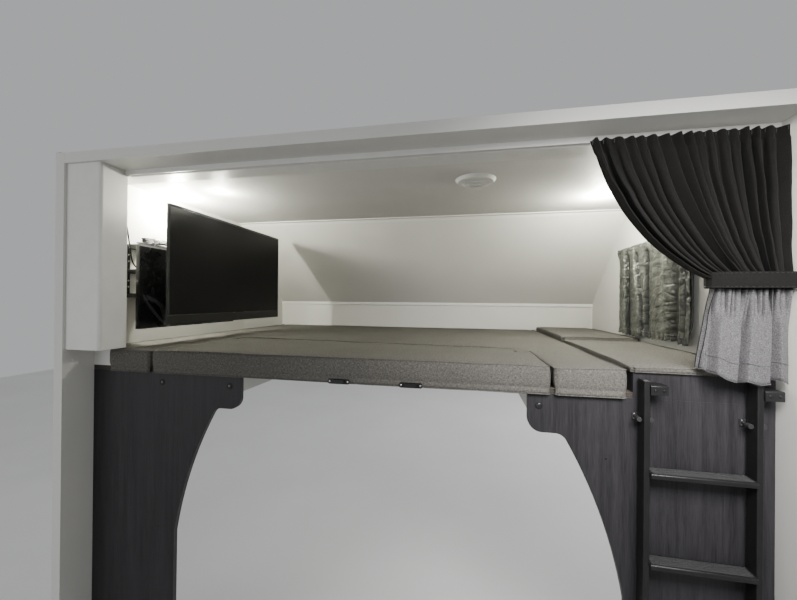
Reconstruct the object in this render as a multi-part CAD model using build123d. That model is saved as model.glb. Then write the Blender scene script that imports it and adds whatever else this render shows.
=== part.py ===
from build123d import *
import math
import os

# Over-cab bunk of a motorhome: the alcove over the cab with its bed, the two cab partition
# panels, the boarding ladder and the swing-out television.
# Millimetres. X to the passenger side, Y forward, Z up. Sizes are written from the coach floor
# and from the aft face of the partition panels. The parts are written out from the middle of
# the roof's joint face, where the module is bolted to the coach.

os.makedirs("parts", exist_ok=True)

# Shell
HALF = 1200.0            # half of the inside width
WALL = 40.0              # laminated wall, roof and nose panels
OUT = HALF + WALL        # half of the outside width
JOINT_Y = -120.0         # plane where the module meets the coach
CEILING = 2155.0
ROOF_TOP = CEILING + WALL
SLOPE_Y = 965.0          # ceiling ends here and the slope begins
NOSE_Y = 1534.0          # inner face of the low front wall
LEDGE_Z = 1624.0         # top of the low front wall
PAN_Z = 1282.0           # underside of the floor pan
PAN_TOP = 1342.0         # floor pan, and top edge of the partition panels
SKIN = 6.0               # moulded nose cap
LEG_Y = 40.0             # forward edge of the wall strip beside the partition

# Nose cap, inner outline
CAP_NOSE_Y = 1650.0
CAP_LOW_Y = 1520.0
CAP_LOW_Z = 1420.0
CAP_HIGH_Z = 1600.0
CAP_TOP_Y = 1012.0
CAP_ROOF_Y = 850.0       # aft edge of the cap on the roof
CAP_UNDER_Y = 1470.0     # aft edge of the cap under the pan, where the nose begins to curve
CAP_EDGE = 14.0          # rounding of the cap's two side edges
CAP_FLANGE = 45.0        # width of the cap's flange on each side wall

# Partition panels and the cab opening
PANEL = 18.0
EAR_X = 520.0
EAR_Z = 1218.0
HATCH_DEPTH = 430.0      # cut in the floor pan over the cab opening
HATCH_R = 25.0
ARCH_TOP = (640.0, 1195.0)
ARCH_MID = (747.0, 955.0)
ARCH_LOW = (808.0, 715.0)

# Bed
DECK = 18.0
DECK_TOP = PAN_TOP + DECK
BED_TOP = 1430.0
BED_FRONT = -20.0        # the cushions hang over the deck's aft edge
SPLIT_LEFT = -908.0      # the loose middle cushion lies between these two
SPLIT_RIGHT = 593.0
SEAM_LEFT = 520.0        # its forward seam runs slightly askew
SEAM_RIGHT = 402.0
GAP = 3.0                # half of the gap between two cushions
BED_RIGHT = 808.0
HATCH_X = 560.0          # the middle board spans the cab opening
HATCH_Y = 470.0
BASE_X = -1112.0         # little base under the jamb
BASE_Y = 55.0

# Raised step on the right, where the ladder leads
STEP_X = 828.0
STEP_TOP = 1424.0
NEAR_PAD = (-14.0, 787.0, 17.0)
FAR_PAD = (793.0, 1530.0, 28.0)

# Ladder
LADDER_X = 838.0
LADDER_W = 300.0
STILE = (16.0, 42.0)     # width, depth
LADDER_Y = -50.0
LADDER_TOP = 1405.0
LADDER_FOOT = 40.0
FOOT_HIGH = 30.0         # rubber foot
TREAD_TOP = 1140.0
TREAD_PITCH = 264.0
TREADS = 4

# Television on its hinged board
TV_FACE_X = -920.0
TV_NEAR_Y = 76.0
TV_W = 890.0
TV_H = 520.0
TV_LOW = 1524.0
TV_EDGE = 9.0            # depth of the frame at its edge
TV_BACK = 41.0           # the housing behind it
BOARD_X = -1030.0        # front face of the board
BOARD_Y = (46.0, 660.0)
BOARD_Z = (1508.0, 1866.0)
HINGE = (-1078.0, 160.0)
HINGE_Z = (1640.0, 1884.0)
BAR = 20.0               # height of each stand-off bar
BAR_Z = (1640.0, 1750.0, 1864.0)
PIN = 6.0
AXLE = 4.0
TILT_Z = 1784.0


def box(x0, x1, y0, y1, z0, z1):
    solid = Box(x1 - x0, y1 - y0, z1 - z0)
    return Pos((x0 + x1) / 2, (y0 + y1) / 2, (z0 + z1) / 2) * solid


def outline(points, radii=None):
    """Closed outline of straight runs, with the corners named in radii rounded."""
    face = make_face(Polyline(*points, close=True))
    for index, radius in (radii or {}).items():
        corner = Vector(*points[index])
        vertex = min(face.vertices(), key=lambda v: (v.center() - corner).length)
        face = fillet(vertex, radius)
    return face


def from_side(sketch, x0, x1):
    """A sketch drawn in Y and Z, given its thickness along X."""
    return Pos(x0, 0, 0) * extrude(Plane.YZ * sketch, amount=x1 - x0)


def from_aft(sketch, y0, y1):
    """A sketch drawn in X and Z, given its thickness along Y."""
    return Pos(0, y0, 0) * extrude(Plane.XZ * sketch, amount=y0 - y1)


def from_top(sketch, z0, z1):
    """A sketch drawn in X and Y, given its thickness along Z."""
    return Pos(0, 0, z0) * extrude(sketch, amount=z1 - z0)


def upright(x, y, z0, z1, radius):
    return Pos(x, y, (z0 + z1) / 2) * Cylinder(radius, z1 - z0)


def mirrored(solid):
    return mirror(solid, Plane.YZ)


# Outline of the whole module seen from the side
SHELL_POINTS = [
    (JOINT_Y, 0), (LEG_Y, 0), (LEG_Y, PAN_Z), (CAP_LOW_Y, PAN_Z), (CAP_NOSE_Y, CAP_LOW_Z),
    (CAP_NOSE_Y, CAP_HIGH_Z), (CAP_TOP_Y, ROOF_TOP), (JOINT_Y, ROOF_TOP)]
SHELL_RADII = {2: 80, 3: 120, 4: 110, 5: 150, 6: 200}


def shell_outline():
    return outline(SHELL_POINTS, SHELL_RADII)


def slope_z(y):
    """Height of the inner slope above a place on the floor."""
    return LEDGE_Z + (NOSE_Y - y) * (CEILING - LEDGE_Z) / (NOSE_Y - SLOPE_Y)


# Side walls, the right one with its window cut
WIN_Y = (400.0, 1000.0)
WIN_Z = (1510.0, 1880.0)
WIN_R = 60.0
WIN_MID = (sum(WIN_Y) / 2, sum(WIN_Z) / 2)
WIN_SIZE = (WIN_Y[1] - WIN_Y[0], WIN_Z[1] - WIN_Z[0])


def window_sketch(grow):
    shape = RectangleRounded(WIN_SIZE[0] + 2 * grow, WIN_SIZE[1] + 2 * grow, WIN_R + grow)
    return Pos(*WIN_MID) * shape


def side_wall_left():
    return from_side(shell_outline(), -OUT, -HALF)


def side_wall_right():
    return from_side(shell_outline() - window_sketch(0), HALF, OUT)


def window_frame():
    flange = from_side(window_sketch(26) - window_sketch(-14), OUT, OUT + 6)
    liner = from_side(window_sketch(-0.5) - window_sketch(-14), HALF, OUT)
    bar = from_side(Pos(*WIN_MID) * Rectangle(26, WIN_SIZE[1] - 28), OUT - 8, OUT + 4)
    return flange + liner + bar


def window_ring():
    return from_side(window_sketch(22) - window_sketch(-14), HALF - 6, HALF)


def window_glass():
    half = WIN_SIZE[0] / 2 - 14 - 13 - 0.6
    height = WIN_SIZE[1] - 28 - 1.2
    panes = []
    for side in (-1, 1):
        middle = (WIN_MID[0] + side * (13.3 + half / 2), WIN_MID[1])
        pane = Rectangle(half, height)
        outer = pane.vertices().group_by(Axis.X)[-1 if side > 0 else 0]
        pane = fillet(outer, WIN_R - 14)
        panes.append(from_side(Pos(*middle) * pane, OUT - 16, OUT - 11))
    return Compound(children=panes)


# Roof, slope, front wall and floor pan
REGISTER = (355.0, 333.0)
REGISTER_R = 85.0
DUCT_R = 62.0


def roof_panel():
    top = outline([(JOINT_Y, CEILING), (SLOPE_Y, CEILING), (SLOPE_Y + 28, ROOF_TOP), (JOINT_Y, ROOF_TOP)])
    solid = from_side(top & shell_outline(), -HALF, HALF)
    return solid - upright(*REGISTER, CEILING - 1, CEILING + 30, DUCT_R)


def slope_panel():
    run = math.hypot(NOSE_Y - SLOPE_Y, CEILING - LEDGE_Z)
    along = ((NOSE_Y - SLOPE_Y) / run, (LEDGE_Z - CEILING) / run)
    out = (-along[1] * WALL, along[0] * WALL)
    # the panel meets the front wall on the line where their outer faces cross
    low_out = LEDGE_Z + out[1] + (WALL - out[0]) * along[1] / along[0]
    face = outline([
        (SLOPE_Y, CEILING), (NOSE_Y, LEDGE_Z), (NOSE_Y + WALL, low_out),
        (SLOPE_Y + out[0], CEILING + out[1]), (SLOPE_Y + 28, ROOF_TOP - 1)])
    return from_side(face & shell_outline(), -HALF, HALF), low_out


SLOPE_PANEL, FRONT_TOP = slope_panel()


def front_wall():
    face = outline([
        (NOSE_Y, PAN_Z), (NOSE_Y + WALL, PAN_Z), (NOSE_Y + WALL, FRONT_TOP), (NOSE_Y, LEDGE_Z)])
    return from_side(face & shell_outline(), -HALF, HALF)


def floor_pan():
    pan = box(-HALF, HALF, PANEL, NOSE_Y, PAN_Z, PAN_TOP)
    hatch = from_top(outline([
        (-EAR_X, 0), (EAR_X, 0), (EAR_X, HATCH_DEPTH), (-EAR_X, HATCH_DEPTH)],
        {2: HATCH_R, 3: HATCH_R}), PAN_Z - 1, PAN_TOP + 1)
    return (pan - hatch) & from_side(shell_outline(), -HALF, HALF)


def nose_cap():
    """A moulded skin round the nose, with a flange on each side wall and rounded side edges."""
    whole = shell_outline()
    high = Pos(CAP_ROOF_Y + 500, 1700 + 300) * Rectangle(1000, 600)
    low = Pos(CAP_UNDER_Y + 200, 1400) * Rectangle(400, 600)
    zone = high + low
    wide = OUT + SKIN
    hull = from_side(offset(whole, SKIN), -wide, wide)
    rims = [e for e in hull.edges() if abs(abs(e.center().X) - wide) < 0.01]
    hull = fillet(rims, CAP_EDGE)
    core = from_side(whole, -OUT, OUT)
    hole = from_side(offset(whole, -CAP_FLANGE), -wide - 1, wide + 1)
    return (hull - core - hole) & from_side(zone, -wide, wide)


# Small marker lamps across the top of the nose: one row, (X of each lamp)
LAMP_ROW = (-1020.0, -240.0, 0.0, 240.0, 1020.0)
LAMP_SIZE = (110.0, 34.0)
LAMP_CORNER = 12.0
LAMP_HIGH = 20.0
LAMP_DOWN = 180.0        # from the roof's edge, along the slope


def marker_lamps():
    angle = math.degrees(math.atan2(ROOF_TOP - CAP_HIGH_Z, CAP_NOSE_Y - CAP_TOP_Y))
    along = (math.cos(math.radians(angle)), math.sin(math.radians(angle)))
    place = (CAP_TOP_Y + LAMP_DOWN * along[0] + SKIN * along[1],
             ROOF_TOP - LAMP_DOWN * along[1] + SKIN * along[0])
    lamps = []
    for x in LAMP_ROW:
        lens = chamfer(Rectangle(*LAMP_SIZE).vertices(), LAMP_CORNER)
        lamp = extrude(lens, amount=LAMP_HIGH, taper=22)
        lamps.append(Pos(x, place[0], place[1] + 0.3) * Rot(-angle, 0, 0) * lamp)
    return Compound(children=lamps)


def corner_rail(side):
    top = box(OUT - 28, OUT + 2, JOINT_Y, CAP_ROOF_Y - 1, ROOF_TOP, ROOF_TOP + 2)
    skirt = box(OUT, OUT + 2, JOINT_Y, CAP_ROOF_Y - 1, ROOF_TOP - 30, ROOF_TOP)
    rail = top + skirt
    return rail if side > 0 else mirrored(rail)


# Inner trim
def header_beam():
    return box(-HALF, HALF, 0, 85, CEILING - 22, CEILING)


def curtain_track():
    channel = outline([
        (-15, CEILING), (-15, CEILING - 20), (-10, CEILING - 20), (-10, CEILING - 18), (-13, CEILING - 18),
        (-13, CEILING - 4), (-2, CEILING - 4), (-2, CEILING - 18), (-5, CEILING - 18), (-5, CEILING - 20),
        (0, CEILING - 20), (0, CEILING)])
    return from_side(channel, JAMB_X + 2, HALF)


def ledge_trim():
    lip = outline([
        (NOSE_Y - 7, LEDGE_Z - 20), (NOSE_Y, LEDGE_Z - 20), (NOSE_Y, LEDGE_Z), (NOSE_Y - 7, LEDGE_Z + 2)],
        {0: 3})
    return from_side(lip, -HALF, HALF)


def slope_trim():
    strip = outline([
        (SLOPE_Y - 20, CEILING), (SLOPE_Y - 20, CEILING - 4), (SLOPE_Y + 2, CEILING - 6),
        (SLOPE_Y + 16, slope_z(SLOPE_Y + 16) - 4), (SLOPE_Y + 18, slope_z(SLOPE_Y + 18)), (SLOPE_Y, CEILING)])
    return from_side(strip, -HALF, HALF)


JAMB_X = -1042.0
JAMB_AFT = -110.0
JAMB_LOW = 1437.0


def left_jamb():
    cover = outline([(-HALF, JAMB_AFT), (JAMB_X, JAMB_AFT), (JAMB_X, 0), (-HALF, 0)], {1: 12})
    hollow = Pos((-HALF + JAMB_X - 12) / 2, JAMB_AFT / 2) * Rectangle(JAMB_X - 12 + HALF, -JAMB_AFT - 24)
    return from_top(cover - hollow, JAMB_LOW, CEILING)


def jamb_base():
    return box(-HALF, BASE_X, 0, BASE_Y, DECK_TOP, JAMB_LOW)


def ceiling_register():
    face = outline([
        (DUCT_R - 3, CEILING + 22), (DUCT_R, CEILING), (REGISTER_R, CEILING), (REGISTER_R - 11, CEILING - 12),
        (DUCT_R - 3, CEILING - 12)])
    ring = revolve(Plane.XZ * face, Axis.Z)
    return Pos(*REGISTER, 0) * ring


LOUVRE_R = DUCT_R - 3.5
LOUVRE_SLOT = (84.0, 20.0, -22.0)   # length, width, distance from the middle


def register_louvre():
    """A turning disc with its air slot, a deflector in the slot and a finger grip."""
    long, wide, off = LOUVRE_SLOT
    disc = extrude(Circle(LOUVRE_R), amount=5)
    disc -= Pos(0, off, 2.5) * Box(long, wide, 7)
    deflector = Pos(0, off, 5) * Rot(35, 0, 0) * Box(long + 2, 3, wide)
    grip = Pos(0, -off, -1.5) * Box(44, 6, 7)
    return Pos(*REGISTER, CEILING - 10) * (disc + deflector + grip)


# Partition panels
def bulkhead(side):
    path = [
        Line((HALF, 0), (HALF, PAN_TOP)),
        Line((HALF, PAN_TOP), (EAR_X, PAN_TOP)),
        Line((EAR_X, PAN_TOP), (EAR_X, EAR_Z + 45)),
        ThreePointArc((EAR_X, EAR_Z + 45), (EAR_X + 13, EAR_Z + 13), (EAR_X + 45, EAR_Z)),
        Line((EAR_X + 45, EAR_Z), (ARCH_TOP[0] - 40, EAR_Z)),
        ThreePointArc((ARCH_TOP[0] - 40, EAR_Z), (ARCH_TOP[0] - 16, EAR_Z - 6), ARCH_TOP),
        ThreePointArc(ARCH_TOP, ARCH_MID, ARCH_LOW),
        Line(ARCH_LOW, (ARCH_LOW[0] + 4, 0)),
        Line((ARCH_LOW[0] + 4, 0), (HALF, 0))]
    panel = from_aft(make_face(Wire(path)), 0, PANEL)
    return panel if side > 0 else mirrored(panel)


# Bed
def bunk_deck():
    sheet = from_top(outline([
        (-HALF, 0), (STEP_X, 0), (STEP_X, PANEL), (HALF, PANEL), (HALF, NOSE_Y), (-HALF, NOSE_Y)]),
        PAN_TOP, DECK_TOP)
    hatch = box(-HATCH_X, HATCH_X, -1, HATCH_Y, PAN_TOP - 1, DECK_TOP + 1)
    return sheet - hatch


def bridge_board():
    return box(-HATCH_X + 2, HATCH_X - 2, 0, HATCH_Y - 2, PAN_TOP, DECK_TOP)


LOOP_Z = 1350.0
LOOP_ROW = (-119.0, 138.0)


def footman_loops():
    loops = []
    for x in LOOP_ROW:
        plate = from_aft(Pos(x, LOOP_Z) * RectangleRounded(78, 18, 5), BED_FRONT - 2.5, BED_FRONT)
        bow = from_top(outline([
            (x - 25, BED_FRONT - 2.5), (x - 21, BED_FRONT - 11), (x + 21, BED_FRONT - 11),
            (x + 25, BED_FRONT - 2.5), (x + 20, BED_FRONT - 2.5), (x + 17, BED_FRONT - 8),
            (x - 17, BED_FRONT - 8), (x - 20, BED_FRONT - 2.5)], {1: 3, 2: 3}), LOOP_Z - 7, LOOP_Z + 7)
        loops.append(plate + bow)
    return Compound(children=loops)


def seam_y(x):
    """Forward edge of the loose middle cushion."""
    return SEAM_LEFT + (x - SPLIT_LEFT) * (SEAM_RIGHT - SEAM_LEFT) / (SPLIT_RIGHT - SPLIT_LEFT)


def front_lip(x0, x1):
    """The part of a cushion that hangs over the deck's aft edge."""
    return box(x0, x1, BED_FRONT, -1.5, PAN_TOP + 1, DECK_TOP)


def cushion_middle():
    left = SPLIT_LEFT + GAP
    right = SPLIT_RIGHT - GAP
    pad = from_top(outline([
        (left, BED_FRONT), (right, BED_FRONT), (right, seam_y(right) - GAP), (left, seam_y(left) - GAP)],
        {2: 70, 3: 40}), DECK_TOP, BED_TOP)
    return pad + front_lip(left, right)


def cushion_main():
    left = SPLIT_LEFT - GAP
    right = SPLIT_RIGHT + GAP
    wall = -HALF + 4
    pad = from_top(outline([
        (BASE_X + 3, BED_FRONT), (left, BED_FRONT), (left, seam_y(left) + GAP), (right, seam_y(right) + GAP),
        (right, BED_FRONT), (BED_RIGHT, BED_FRONT), (BED_RIGHT, NOSE_Y - 4), (wall, NOSE_Y - 4),
        (wall, BASE_Y + 3), (BASE_X + 3, BASE_Y + 3)], {2: 43, 3: 73}), DECK_TOP, BED_TOP)
    return pad + front_lip(BASE_X + 3, left) + front_lip(right, BED_RIGHT)


def step_riser():
    return box(STEP_X, HALF, 0, PANEL, PAN_TOP, STEP_TOP)


def step_top():
    return box(STEP_X, HALF, PANEL, NOSE_Y, STEP_TOP - 12, STEP_TOP)


def step_rail():
    return box(STEP_X, STEP_X + PANEL, PANEL, NOSE_Y, DECK_TOP, STEP_TOP - 12)


def step_pad(low, high, thick):
    return box(STEP_X - 15, HALF - 5, low, high, STEP_TOP, STEP_TOP + thick)


# Ladder: stiles, channel treads, folded hooks and rubber feet
def ladder_stiles():
    solids = []
    for x in (LADDER_X, LADDER_X + LADDER_W - STILE[0]):
        tube = box(x, x + STILE[0], LADDER_Y, LADDER_Y + STILE[1], LADDER_FOOT + FOOT_HIGH, LADDER_TOP)
        tube = fillet(tube.edges().filter_by(Axis.Z), 3)
        solids.append(tube)
    return Compound(children=solids)


TREAD_LIP = 14.0         # front lip, and the deeper flange at the back
TREAD_FLANGE = 22.0
TREAD_SHEET = 3.0
TREAD_NOSE = 10.0        # the tread stands proud of the stiles at the front


def ladder_treads():
    """Pressed channels with a rolled nose, closed by end plates that are welded to the stiles."""
    x0 = LADDER_X + STILE[0]
    x1 = LADDER_X + LADDER_W - STILE[0]
    front = LADDER_Y - TREAD_NOSE
    back = LADDER_Y + STILE[1] - 2
    solids = []
    for step in range(TREADS):
        top = TREAD_TOP - step * TREAD_PITCH
        whole = outline([
            (front, top), (front, top - TREAD_LIP), (back, top - TREAD_FLANGE), (back, top)], {0: 6})
        inner = outline([
            (front + TREAD_SHEET, top - TREAD_SHEET), (front + TREAD_SHEET, top - TREAD_FLANGE - 1),
            (back - TREAD_SHEET, top - TREAD_FLANGE - 1), (back - TREAD_SHEET, top - TREAD_SHEET)], {0: 3})
        end_plate = outline([
            (LADDER_Y, top), (LADDER_Y, top - TREAD_LIP), (LADDER_Y + 8, top - TREAD_FLANGE),
            (back, top - TREAD_FLANGE), (back, top)])
        channel = from_side(whole - inner, x0, x1)
        plates = from_side(end_plate, x0, x0 + TREAD_SHEET) + from_side(end_plate, x1 - TREAD_SHEET, x1)
        solids.append(channel + plates)
    return Compound(children=solids)


HOOK_W = 46.0
HOOK_DROP = 28.0


def ladder_hooks():
    """Folded tabs on the outer side of each stile head, with a web that stiffens the fold."""
    top = LADDER_TOP - 10
    solids = []
    for x in (LADDER_X + STILE[0], LADDER_X + LADDER_W):
        fold = outline([
            (LADDER_Y - 3, top), (-1.5, top), (-1.5, top - 3), (LADDER_Y, top - 3),
            (LADDER_Y, top - HOOK_DROP), (LADDER_Y - 3, top - HOOK_DROP)], {0: 4})
        web = outline([
            (LADDER_Y, top - 3), (-6, top - 3), (-6, top - 9), (LADDER_Y + 14, top - HOOK_DROP),
            (LADDER_Y, top - HOOK_DROP)])
        solids.append(from_side(fold, x, x + HOOK_W) + from_side(web, x, x + 3))
    return Compound(children=solids)


def ladder_feet():
    solids = []
    for x in (LADDER_X, LADDER_X + LADDER_W - STILE[0]):
        solids.append(box(x - 2, x + STILE[0] + 2, LADDER_Y - 2, LADDER_Y + STILE[1] + 2, LADDER_FOOT,
                          LADDER_FOOT + FOOT_HIGH))
    return Compound(children=solids)


CLIP_Z = 1290.0
CLIP_KNOB = 7.0
CLIP_GRIP = 0.8          # play between knob and stile


def ladder_clips():
    """Two knobbed pegs each side of a stile, on one base."""
    solids = []
    for x in (LADDER_X, LADDER_X + LADDER_W - STILE[0]):
        reach = STILE[0] / 2 + CLIP_GRIP + CLIP_KNOB
        middle = x + STILE[0] / 2
        clip = box(middle - reach - 6, middle + reach + 6, -4, 0, CLIP_Z - 10, CLIP_Z + 10)
        for peg_x in (middle - reach, middle + reach):
            head = Pos(peg_x, CLIP_Z) * RegularPolygon(CLIP_KNOB, 12, major_radius=False)
            clip += box(peg_x - 3.5, peg_x + 3.5, -25, -4, CLIP_Z - 3.5, CLIP_Z + 3.5)
            clip += from_aft(head, -39, -23)
        solids.append(clip)
    return Compound(children=solids)


# Television: wall frame, hinge, board, tilt head, housing and screen
def tv_wall_frame():
    hx, hy = HINGE
    near = hy - 23
    far = hy + 59
    solid = box(-HALF, -HALF + 5, near, far, *HINGE_Z)
    solid -= box(-HALF - 1, -HALF + 6, near + 14, far - 14, *HINGE_Z)
    for z in BAR_Z:
        arm = from_top(outline([(-HALF, near), (hx, hy - 14), (hx, hy + 14), (-HALF, far)]), z, z + BAR)
        solid = solid + arm + upright(hx, hy, z, z + BAR, 16)
    return solid - upright(hx, hy, HINGE_Z[0] - 1, HINGE_Z[1] + 1, PIN + 0.08)


def tv_hinge_pin():
    return upright(*HINGE, HINGE_Z[0] - 4, HINGE_Z[1] + 4, PIN)


def tv_swing_frame():
    hx, hy = HINGE
    solids = []
    for low, high in zip(BAR_Z, BAR_Z[1:]):
        z0 = low + BAR + 2
        z1 = high - 2
        knuckle = upright(hx, hy, z0, z1, 14)
        strap = box(hx, BOARD_X - PANEL, hy - 8, hy + 8, z0, z1)
        leaf = box(BOARD_X - PANEL - 4, BOARD_X - PANEL, hy - 60, hy + 190, z0 + 8, z1 - 8)
        solids.append(knuckle + strap + leaf - upright(hx, hy, z0 - 1, z1 + 1, PIN + 0.08))
    return Compound(children=solids)


def tv_board():
    return box(BOARD_X - PANEL, BOARD_X, BOARD_Y[0], BOARD_Y[1], BOARD_Z[0], BOARD_Z[1])


TV_MID_Y = TV_NEAR_Y + TV_W / 2
TV_BACK_X = TV_FACE_X - TV_EDGE - TV_BACK
TILT_X = BOARD_X + 26


def tv_tilt_cheeks():
    plate = box(BOARD_X, BOARD_X + 4, TV_MID_Y - 60, TV_MID_Y + 60, TILT_Z - 60, TILT_Z + 60)
    solid = plate
    for y in (TV_MID_Y - 56, TV_MID_Y + 52):
        cheek = box(BOARD_X + 4, TILT_X + 12, y, y + 4, TILT_Z - 18, TILT_Z + 18)
        solid = solid + cheek
    bore = Pos(TILT_X, TV_MID_Y, TILT_Z) * Rot(90, 0, 0) * Cylinder(AXLE + 0.08, 200)
    return solid - bore


def tv_tilt_plate():
    plate = box(TV_BACK_X - 4, TV_BACK_X, TV_MID_Y - 55, TV_MID_Y + 55, TILT_Z - 55, TILT_Z + 55)
    solid = plate
    for y in (TV_MID_Y - 50, TV_MID_Y + 46):
        ear = box(TILT_X - 12, TV_BACK_X - 4, y, y + 4, TILT_Z - 16, TILT_Z + 16)
        solid = solid + ear
    axle = Pos(TILT_X, TV_MID_Y, TILT_Z) * Rot(90, 0, 0) * Cylinder(AXLE, 124)
    return solid + axle


CHIN = 42.0              # satin bar under the screen
CHIN_DEPTH = 6.0
BEZEL = 9.0
BACK_TAPER = 24.0
VENT = (3.0, 24.0, 5.0)  # width, height, depth of a cooling slot
VENT_Z = TV_LOW + 336
VENT_ROWS = ((-225.0, 12), (225.0, 12))   # (Y from the middle, slots in the row)
SOCKET_BAY = (-230.0, 1641.0, 110.0, 60.0)   # Y from the middle, Z, width, height


def tv_frame_face(grow):
    y1 = TV_NEAR_Y + TV_W
    return outline([
        (TV_NEAR_Y - grow, TV_LOW - grow), (y1 + grow, TV_LOW - grow), (y1 + grow, TV_LOW + TV_H + grow),
        (TV_NEAR_Y - grow, TV_LOW + TV_H + grow)], {0: 5 + grow, 1: 5 + grow, 2: 5 + grow, 3: 5 + grow})


def tv_housing():
    """Thin moulded frame, and behind it the deeper electronics bulge with its vents and socket bay."""
    y1 = TV_NEAR_Y + TV_W
    front = from_side(tv_frame_face(0), TV_FACE_X - TV_EDGE, TV_FACE_X)
    back = outline([
        (TV_MID_Y - 360, TV_LOW + 40), (TV_MID_Y + 360, TV_LOW + 40), (TV_MID_Y + 300, TV_LOW + 400),
        (TV_MID_Y - 300, TV_LOW + 400)], {0: 30, 1: 30, 2: 30, 3: 30})
    bulge = from_side(back, TV_BACK_X, TV_FACE_X - TV_EDGE)
    bulge = chamfer(bulge.faces().sort_by(Axis.X)[0].edges(), BACK_TAPER)
    body = front + bulge
    body -= box(TV_FACE_X - 3, TV_FACE_X + 1, TV_NEAR_Y + BEZEL, y1 - BEZEL, TV_LOW + CHIN + 2,
                TV_LOW + TV_H - BEZEL)
    body -= box(TV_FACE_X - CHIN_DEPTH, TV_FACE_X + 1, TV_NEAR_Y - 1, y1 + 1, TV_LOW - 1, TV_LOW + CHIN)
    for middle, slots in VENT_ROWS:
        for slot in range(slots):
            y = TV_MID_Y + middle + (slot - (slots - 1) / 2) * 8
            body -= box(TV_BACK_X - 1, TV_BACK_X + VENT[2], y, y + VENT[0], VENT_Z, VENT_Z + VENT[1])
    y, z, wide, high = SOCKET_BAY
    body -= box(TV_BACK_X - 1, TV_BACK_X + 14, TV_MID_Y + y, TV_MID_Y + y + wide, z, z + high)
    return body


def tv_chin():
    y1 = TV_NEAR_Y + TV_W
    bar = box(TV_FACE_X - CHIN_DEPTH, TV_FACE_X + 2, TV_NEAR_Y, y1, TV_LOW, TV_LOW + CHIN)
    return fillet(bar.faces().sort_by(Axis.X)[-1].edges(), 1.5)


def tv_screen():
    return box(TV_FACE_X - 3, TV_FACE_X - 0.5, TV_NEAR_Y + BEZEL + 0.5, TV_NEAR_Y + TV_W - BEZEL - 0.5,
               TV_LOW + CHIN + 2.5, TV_LOW + TV_H - BEZEL - 0.5)


# Aerial lead from its wall outlet to the plug on the middle stand-off bar
OUTLET = (80.0, 1990.0)      # Y, Z of the outlet's middle
OUTLET_SIZE = (74.0, 116.0)
SOCKET_REACH = 14.0
LEAD_R = 3.0
PLUG_R = 5.5
PLUG = (156.0, 188.0)        # Y of its two ends
PLUG_X = -1145.0
LEAD_ROUTE = [
    (-HALF + SOCKET_REACH, 80, 1990), (-1154, 80, 1990), (-1144, 90, 1948), (-1148, 102, 1893),
    (-1150, 113, 1832), (-1148, 121, 1796), (-1146, 132, 1781), (PLUG_X, 142, 1775.5),
    (PLUG_X, PLUG[0], 1775.5)]


def tv_outlet():
    plate = from_side(Pos(*OUTLET) * RectangleRounded(*OUTLET_SIZE, 8), -HALF, -HALF + 5)
    plate = chamfer(plate.faces().sort_by(Axis.X)[-1].edges(), 1.5)
    socket = Pos(-HALF + SOCKET_REACH / 2, *OUTLET) * Rot(0, 90, 0) * Cylinder(5, SOCKET_REACH)
    return plate + socket


def bend_radii(route):
    """One radius for each corner of a route: as large as its two runs allow."""
    points = [Vector(*p) for p in route]
    radii = []
    for before, here, after in zip(points, points[1:], points[2:]):
        arriving = here - before
        leaving = after - here
        turn = math.radians(arriving.get_angle(leaving))
        radii.append(0.45 * min(arriving.length, leaving.length) / math.tan(turn / 2))
    return radii


def tv_lead():
    radii = bend_radii(LEAD_ROUTE)
    path = FilletPolyline(*LEAD_ROUTE, radius=radii)
    start = Plane(origin=path @ 0, z_dir=path % 0)
    tube = sweep(start * RegularPolygon(LEAD_R, 12, major_radius=False), path=path)
    print("lead radii", [round(r) for r in radii], "length", round(path.length, 1),
          "volume share", round(tube.volume / (math.pi * LEAD_R ** 2 * path.length), 4))
    return tube


def tv_lead_plug():
    z = LEAD_ROUTE[-1][2]
    barrel = Pos(PLUG_X, sum(PLUG) / 2, z) * Rot(90, 0, 0) * Cylinder(PLUG_R, PLUG[1] - PLUG[0])
    saddle = box(PLUG_X - 8, PLUG_X + 8, 170, 178, BAR_Z[1] + BAR, z + 1.5)
    return barrel + saddle


# Spare cable, folded into a tied hank on the board's top edge, and the clamp block that holds its ends
HANK_Y = (50.0, 270.0)
HANK_X = -1042.0
HANK = (36.0, 30.0)          # width, height of the bundle


def tv_cable_hank():
    z = BOARD_Z[1] + HANK[1] / 2
    section = Pos(HANK_X, z) * RectangleRounded(*HANK, 10)
    return from_aft(section, *HANK_Y)


def tv_cable_block():
    y0 = HANK_Y[1]
    cap = box(BOARD_X - PANEL - 5, BOARD_X + 5, y0, y0 + 28, BOARD_Z[1], BOARD_Z[1] + 28)
    cap = fillet(cap.edges().filter_by(Axis.Y), 6)
    leg = box(BOARD_X - PANEL - 5, BOARD_X - PANEL, y0, y0 + 28, BOARD_Z[1] - 10, BOARD_Z[1] + 10)
    return cap + leg


# Curtains
ROD = (1171.0, 1927.0)       # X, Z of the curtain rod
ROD_Y = (333.0, 1035.0)
ROD_HOLD = 7.0               # from its end to the middle of its bracket


def window_curtain():
    return box(ROD[0] - 13, ROD[0] + 13, 352, 1014, 1471, ROD[1] - 7)


def window_curtain_rod():
    solid = Pos(ROD[0], sum(ROD_Y) / 2, ROD[1]) * Rot(90, 0, 0) * Cylinder(5, ROD_Y[1] - ROD_Y[0])
    for y in (ROD_Y[0] + ROD_HOLD, ROD_Y[1] - ROD_HOLD):
        solid = solid + box(ROD[0] - 5, HALF, y - 5, y + 5, ROD[1] - 7, ROD[1] + 7)
    return solid


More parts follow.
